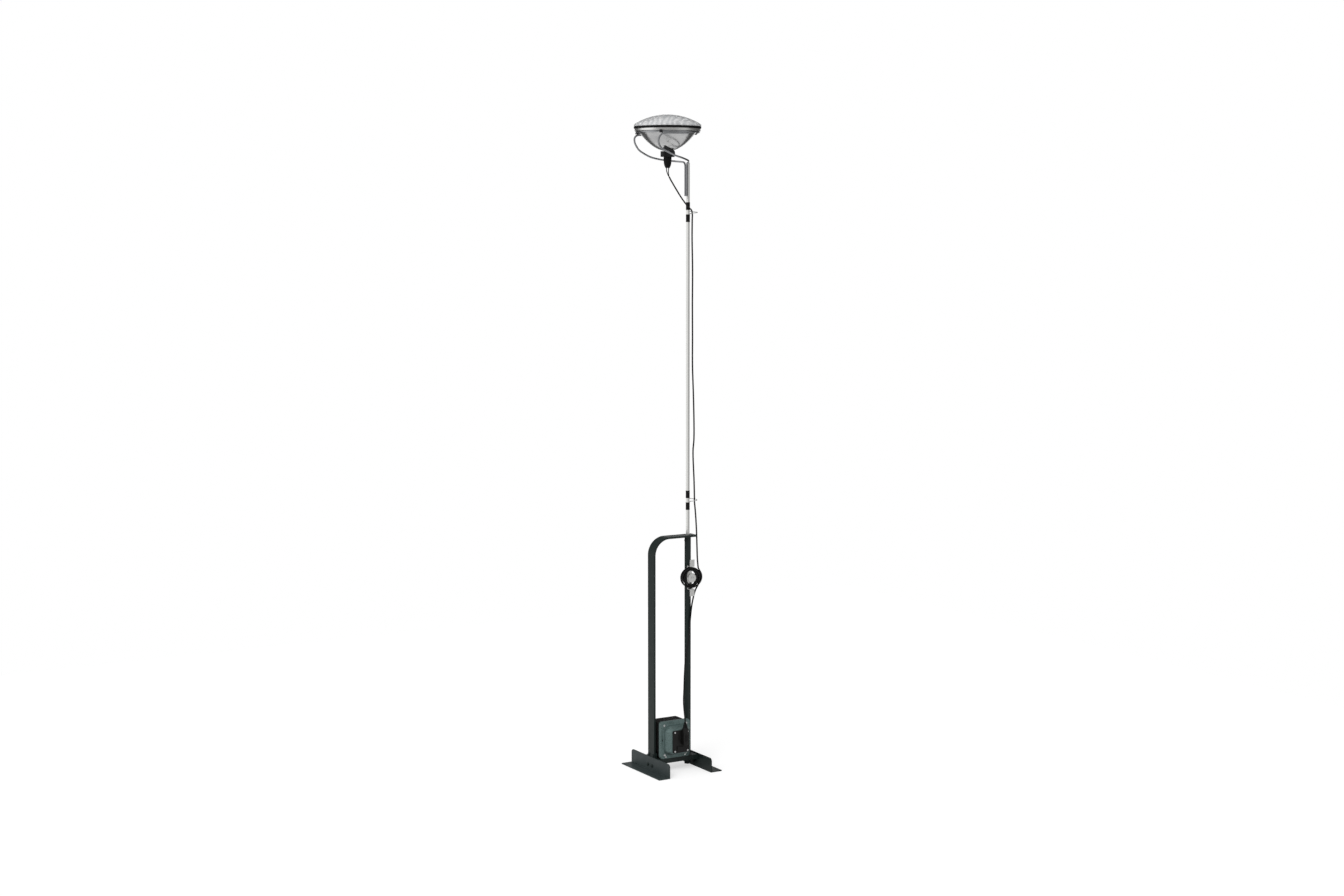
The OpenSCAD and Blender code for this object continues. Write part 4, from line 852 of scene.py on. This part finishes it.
coverX, coverZ = place["coverX"], place["coverZ"]
screws = {  # node, seed and slot, then rows of head, middle, how far each side of it, direction and width
    "coreBolts": [("core_bolts", 3, None),
                  ("slotted", (coverX, -0.037, coverZ), (0.035, 0, 0.0415), (0, -1, 0), 0.0072),
                  ("nut", (coverX, 0.0316, coverZ), (0.035, 0, 0.0415), (0, 1, 0), 0.0078)],
    "panelScrews": [("panel_screws", 8, None),
                    ("slotted", (coverX, -0.0695, coverZ), (0.02025, 0, 0.02675), (0, -1, 0), 0.0056)],
    "coverScrews": [("cover_screws", 2, None),
                    ("slotted", (coverX, -0.037, 0.0435), (0.031, 0, 0), (0, -1, 0), 0.0054)],
    "packerScrews": [("packer_screws", 5, None),
                     ("slotted", (coverX, 0, 0.035), (0.0895 / 3, 0.018, 0), (0, 0, -1), 0.0076)],
    "handleHeads": [("handle_screws", 6, "dark_paint"),
                    ("slotted", (-0.066, 0, 0.045), (0, 0.011, 0), (-1, 0, 0), 0.009)],
    "handleNuts": [("handle_screws", 6, None), ("nut", (-0.0575, 0, 0.045), (0, 0.011, 0), (1, 0, 0), 0.0098)],
    "footScrews": [("foot_screws", 7, "dark_paint"),  # painted over with the feet
                   ("slotted", (0.069, 0, 0.030), (0, 0.016, 0), (1, 0, 0), 0.009),
                   ("nut", (0.063, 0, 0.030), (0, 0.016, 0), (-1, 0, 0), 0.0098),
                   ("slotted", (-0.069, 0, 0.0165), (0, 0.011, 0), (-1, 0, 0), 0.009),
                   ("nut", (-0.0605, 0, 0.0165), (0, 0.011, 0), (1, 0, 0), 0.0098)],
    "winderScrew": [("winder_screw", 9, None),
                    ("slotted", (place["postX"], -0.02555, place["winderZ"]), (0, 0, 0), (0, -1, 0), 0.0072)],
}


def placesOf(middle, apart):  # each side of the middle, along the axes that have a distance
    x, y, z = [(m - d, m + d) if d else (m,) for m, d in zip(middle, apart)]
    return [(a, b, c) for a in x for b in y for c in z]


def makeScrews():
    screwing = screwTree()
    kinds = {"slotted": carrier(slottedHead()), "nut": carrier(hexNut())}
    for name, ((node, seed, slot), *rows) in screws.items():
        form = bmesh.new()
        for kind, shape in kinds.items():
            chosen = [(at, aim, width) for rowKind, middle, apart, aim, width in rows if rowKind == kind
                      for at in placesOf(middle, apart)]
            if not chosen:
                continue
            mesh = bpy.data.meshes.new(name)
            mesh.from_pydata([at for at, aim, width in chosen], [], [])
            mark(mesh, "aim", [c for at, aim, width in chosen for c in aim], "FLOAT_VECTOR", key="vector")
            mark(mesh, "width", [width for at, aim, width in chosen])
            form.from_mesh(grown(mesh, screwing, Head=shape, Seed=seed, Finish=finishes[slot or slotOf[node]]))
        piece(name, smoothed(meshOf(form, name), 40), node, slot=slot)
    for shape in kinds.values():
        bpy.data.objects.remove(shape)


makeScrews()
print("screws")


disc = {"profile": [(0, 0.02555), (0.0118, 0.02555), (0.013, 0.0245), (0.013, 0.0235), (0.0122, 0.02305),
                    (0.008, 0.02305), (0.008, 0.01075), (0, 0.01075)],
        "rounding": [0, 0.001, 0.0006, 0.0006, 0.0004, 0.001, 0, 0]}
gland = {"at": (0.012, 0.0561, -0.016),  # from the middle of the core
         "cap": [(0.0033, -0.006), (0.005, -0.006), (0.005, 0.0042), (0.0065, 0.0042), (0.0064, 0.008),
                 (0.0052, 0.0132), (0.0033, 0.0132)],
         "rounding": [0, 0, 0, 0.0004, 0.001, 0.0012, 0.0006], "chamfer": 0.0004,
         "nuts": [(0.0002, 0.0042, 0.015), (-0.005, -0.0018, 0.014)]}  # from, to and across flats


def makeDisc():
    profile = roundLoop(disc["profile"], disc["rounding"], closed=False)
    centre = (place["postX"], 0, place["winderZ"])
    shaped("winderDisc", [turned(profile, centre, 64, False, "Y")], 40, "winder_disc")


def makeGland():
    centre = Vector((place["coverX"] + gland["at"][0], gland["at"][1], place["coreZ"] + gland["at"][2]))
    cap = [(r, -y) for r, y in roundLoop(gland["cap"], gland["rounding"])]
    parts, c = [turned(cap, centre, 48, True, "Y")], gland["chamfer"]
    for low, high, across in gland["nuts"]:
        corner = across / math.sqrt(3)
        steps = ((low, c), (low + c, 0), (high - c, 0), (high, c))
        parts.append(loft([[centre + Vector((px, y, pz)) for px, pz in circle(corner - inset, 6)]
                           for y, inset in steps]))
    shaped("mainsGland", parts, 30, "mains_gland")


makeDisc()
makeGland()
print("winder disc and gland")


guide = {"wire": 0.001, "eyeRadius": 0.0105, "away": 0.0061, "eyeX": 0.0178735, "pitch": 0.0034, "bend": 0.015,
         "straight": 0.0008, "under": 0.001, "gap": 0.0004,
         "sleeveFrom": 0.006, "sleeve": 0.021, "wall": 0.0006,
         "rolled": [(0, -0.0004), (0.02, -0.0001), (0.05, 0), (0.3, -0.0001), (0.7, -0.0001), (0.95, 0),
                    (0.98, -0.0001), (1, -0.0004)]}  # along the sleeve, and how much wider


def guideLine(z):  # up the stem's far flat, once round the eye, which falls as it goes, and down
    x, corner, low = place["postX"], place["stemAf"] / math.sqrt(3), guide["sleeveFrom"]
    legX, legY = polar(guide["away"], 30)
    heights = [low + guide["sleeve"], guide["bend"], low, low - guide["straight"]]
    line = [(x + legX, legY, z + h) for h in heights]
    for a in range(160, -161, -16):
        eyeX, eyeY = polar(guide["eyeRadius"], a)
        line.append((x + guide["eyeX"] + eyeX, eyeY, z + guide["pitch"] * a / 160))
    line.append((x + corner + guide["wire"] + guide["gap"], 0, z - guide["pitch"] - guide["under"]))
    line += [(x + legX, legY, z - h) for h in reversed(heights)]
    return smoothLine(line, 4)


def sleeveForm(z, sign):  # shrunk on: it follows the stem and the wire, and rolls in at its ends
    wall, corner = guide["wall"], place["stemAf"] / math.sqrt(3)
    hubs = [(x, y, wall) for x, y in circle(corner, 6)] + [(*polar(guide["away"], 30), guide["wire"] + wall)]
    cloud = [Vector((x + px, y + py)) for x, y, r in hubs for px, py in circle(r, 16)]
    ring = [cloud[i] for i in geometry.convex_hull_2d(cloud)]
    rings = []
    for share, grow in guide["rolled"]:
        height = z + sign * (guide["sleeveFrom"] + guide["sleeve"] * share)
        rings.append([(place["postX"] + p.x + p.normalized().x * grow, p.y + p.normalized().y * grow, height)
                      for p in ring])
    return loft(rings)


for label, height in (("upper", place["upperEye"]), ("lower", place["lowerEye"])):
    shaped(label + "Guide", [rod(guideLine(height), guide["wire"], 12, (0.1, 0.2, 0.97))], 50, label + "_guide")
    shaped(label + "Sleeves", [sleeveForm(height, 1), sleeveForm(height, -1)], 45, label + "_sleeves")
print("guides")


arm = {"rod": 0.0025, "sides": 20, "reach": 0.065, "under": 0.0051, "ringFrom": 60, "ringTo": 100,
       "stemFlat": 0.00755, "stemRun": [0.088, 0.044, 0.014, 0.009],  # brazed to the stem, up from below its top
       "leave": (-0.0005, 0.001, -0.003),
       # then shares of the reach to the left and of the ring's radius to the side, and millimetres up from the ring
       "shares": [(0.1, 0.15, -79), (0.3, 0.4, -76), (0.62, 0.62, -73), (0.94, 0.75, -69), (1.25, 0.78, -64),
                  (1.58, 0.76, -55), (1.82, 0.72, -47), (1.96, 0.72, -36), (2.02, 0.75, -25), (1.99, 0.79, -14),
                  (1.87, 0.81, -7)]}


def armLine(side):
    x, top, ringR, ringZ = place["postX"], place["stemTop"], place["ringR"], place["ringZ"]
    flatX, flatY = polar(arm["stemFlat"], 30)
    out, aside, up = arm["leave"]
    line = [(x - flatX, side * flatY, top - h) for h in arm["stemRun"]]
    line.append((x - flatX + out, side * (flatY + aside), top + up))
    line += [(x - a * arm["reach"], side * b * ringR, ringZ + c / 1000) for a, b, c in arm["shares"]]
    for a in range(arm["ringFrom"], arm["ringTo"] + 1, 10):  # along under the ring
        ringX, ringY = polar(ringR, a)
        line.append((place["lampX"] - ringX, side * ringY, ringZ - arm["under"]))
    return smoothLine(line, 8)


def makeArms():
    for side, label in ((-1, "near"), (1, "far")):
        shaped(label + "Arm", [rod(armLine(side), arm["rod"], arm["sides"])], 50, label + "_arm")
    ring = [Vector((place["lampX"] + x, y, place["ringZ"])) for x, y in circle(place["ringR"], 128)]
    section = circle(arm["rod"], arm["sides"])
    shaped("supportRing", [sweep(ring, section, (0, 0, 1), closed=True)], 50, "support_ring")


rim = {"low": 1.7685, "rubberLow": 1.7765, "rounding": 0.0006, "rubberRounding": 0.0004,
       "band": [(0.083, 0), (0.0885, 0), (0.09, 0.0012), (0.09, 0.0066), (0.0888, 0.008), (0.086, 0.008),
                (0.086, 0.0066), (0.0878, 0.0062), (0.0884, 0.0055), (0.0884, 0.0022), (0.0878, 0.0016),
                (0.083, 0.0016)],
       "rubber": [(0.0853, 0.0), (0.0915, 0.0), (0.092, 0.0012), (0.092, 0.0043), (0.0915, 0.0049),
                  (0.0892, 0.0049), (0.0892, 0.0016), (0.0853, 0.0016)]}
bowl = {"low": 1.7155, "r": 0.085, "rise": 0.060, "rings": 22, "glass": 0.003, "rounding": 0.0004,
        "flange": [(0.085, 1.7782), (0.089, 1.7782), (0.089, 1.7809), (0.082, 1.7809), (0.0815, 1.7795)]}
lens = {"low": 1.7815, "r": 0.092, "rise": 0.0327, "edgeHigh": 0.004, "turn": (0.87, 0.6), "glass": 0.003,
        "edge": [(0.092, 0.0006), (0.0916, 0.0001), (0.091, 0.0), (0.0892, 0.0), (0.0890, -0.0003),
                 (0.0888, -0.0005), (0.0842, -0.0005), (0.084, -0.0002), (0.084, 0.004), (0.0834, 0.0068),
                 (0.0822, 0.0086)],
        "domeRings": 40, "shoulderRings": 10, "flute": 0.00012, "flutePitch": 0.009, "fluteFade": 0.006}


def atLamp(height):
    return place["lampX"], 0, height


def makeRim():
    band = roundLoop(rim["band"], rim["rounding"])
    shaped("lampRim", [turned(band, atLamp(rim["low"]), 128)], 40, "lamp_rim", slot="nickel")
    rubber = roundLoop(rim["rubber"], rim["rubberRounding"])
    shaped("rimGasket", [turned(rubber, atLamp(rim["rubberLow"]), 128)], 40, "rim_gasket")


def bowlHeight(r):
    return bowl["low"] + bowl["rise"] * (r / bowl["r"]) ** 2


def makeBowl():
    count, glass = bowl["rings"], bowl["glass"]
    outside = [bowl["r"] * i / count for i in range(count)]
    profile = [(r, bowlHeight(r)) for r in outside]
    profile += roundLoop([profile[-1]] + bowl["flange"], bowl["rounding"], closed=False)[1:-1]
    profile += [((bowl["r"] - glass) * i / count, bowlHeight(bowl["r"] * i / count) + glass)
                for i in range(count, -1, -1)]
    shaped("reflectorBowl", [turned(profile, atLamp(0), 128, False)], 50, "reflector")


def lensTree():  # the inner face is pressed into slanting flutes
    g = geometryTree("flutes", Depth="Float", Pitch="Float", Finish="Material")
    along = g.dot(g.node("GeometryNodeInputPosition"), place["flutes"])
    wave = g.maths("SINE", along * (2 * math.pi) / g.given["Pitch"])
    inner = g.node("GeometryNodeInputNamedAttribute", {"data_type": "FLOAT"}, {"Name": "inner"})
    push = g.node("ShaderNodeCombineXYZ", None, {"Z": wave * g.given["Depth"] * inner})
    finishTree(g, g.node("GeometryNodeSetPosition", None, {"Geometry": g.given["Geometry"], "Offset": push}))
    return g


def lensFace():  # its outer profile: a shallow ball, then a round shoulder
    r, rise = lens["r"], lens["rise"]
    turnR, drop = lens["turn"][0] * r, lens["turn"][1] * rise
    ball = (turnR ** 2 + drop ** 2) / (2 * drop)
    corner = rise - drop - (r - turnR) * turnR / (ball - drop)
    radii = [turnR * i / lens["domeRings"] for i in range(lens["domeRings"] + 1)]
    dome = [(x, math.sqrt(ball ** 2 - x ** 2) - ball + rise) for x in radii]
    shoulder = []
    for i in range(1, lens["shoulderRings"] + 1):
        t = i / lens["shoulderRings"]
        shoulder.append((turnR * (1 - t) ** 2 + r * (2 * t * (1 - t) + t * t),
                         (rise - drop) * (1 - t) ** 2 + corner * 2 * t * (1 - t) + lens["edgeHigh"] * t * t))
    return dome, shoulder


def makeLens():
    dome, shoulder = lensFace()
    inside = [(x, h - lens["glass"]) for x, h in reversed(dome)]
    mesh = meshFrom("lens", [turned(dome + shoulder + lens["edge"] + inside, atLamp(lens["low"]), 160, False)], 50)
    shares = []
    for v in mesh.vertices:  # flutes only on the inner face, and fading towards its edge
        x, h = math.hypot(v.co.x - place["lampX"], v.co.y), v.co.z - lens["low"]
        top = next(domeHeight for domeR, domeHeight in reversed(dome) if domeR <= x + 1e-5)
        deep = x <= dome[-1][0] + 1e-5 and h < top - lens["glass"] / 2
        shares.append(min(1.0, (dome[-1][0] - x) / lens["fluteFade"]) if deep else 0.0)
    mark(mesh, "inner", shares)
    mesh = grown(mesh, lensTree(), Depth=lens["flute"], Pitch=lens["flutePitch"], Finish=finishes["lens_glass"])
    mesh.shade_smooth()
    piece("lensGlass", mesh, "lens")


makeArms()
makeRim()
makeBowl()
makeLens()
print("lamp head")


strap = {"foot": [(0.009, -0.0158, 1.7032), (0.0086, -0.016, 1.7092), (0.0055, -0.0186, 1.7141)],
         "underBowl": [(-0.003, -0.022, 0.0029), (-0.014, -0.0255, 0.0025), (-0.027, -0.0285, 0.0026)],
         "section": (0.0016, 0.010, 0.0006, 3), "facing": (-0.15, -0.6, -0.78)}
boot = {"low": 1.6702, "start": [(0, 0), (0.0056, 0)], "end": [(0.0107, 0.030), (0, 0.030)],
        "shape": [(0.006, 0.0005), (0.0086, 0.0051), (0.0102, 0.012), (0.011, 0.021), (0.011, 0.0295)],
        "groove": 0.0003, "pitch": 0.0036, "groovesFrom": 0.002, "groovesTo": 0.026}


def makeStrap():
    x = place["lampX"]
    line = [(x + a, b, z) for a, b, z in strap["foot"]]
    line += [(x + a, b, bowlHeight(math.hypot(a, b)) - gap) for a, b, gap in strap["underBowl"]]
    section = [(b, a) for a, b in roundRect(*strap["section"])]
    shaped("holderStrap", [sweep(smoothLine(line, 8), section, strap["facing"])], 50, "holder_clip")


def makeBoot():
    profile = list(boot["start"])
    for (r0, h0), (r1, h1) in zip(boot["shape"], boot["shape"][1:]):
        for s in range(1, 13):
            r, h = r0 + (r1 - r0) * s / 12, h0 + (h1 - h0) * s / 12
            if boot["groovesFrom"] < h < boot["groovesTo"]:
                r -= boot["groove"] * math.sin(h / boot["pitch"] * 2 * math.pi) ** 2
            profile.append((r, h))
    shaped("holderBoot", [turned(profile + boot["end"], atLamp(boot["low"]), 48, False)], 60, "holder_boot")


makeStrap()
makeBoot()
print("holder")
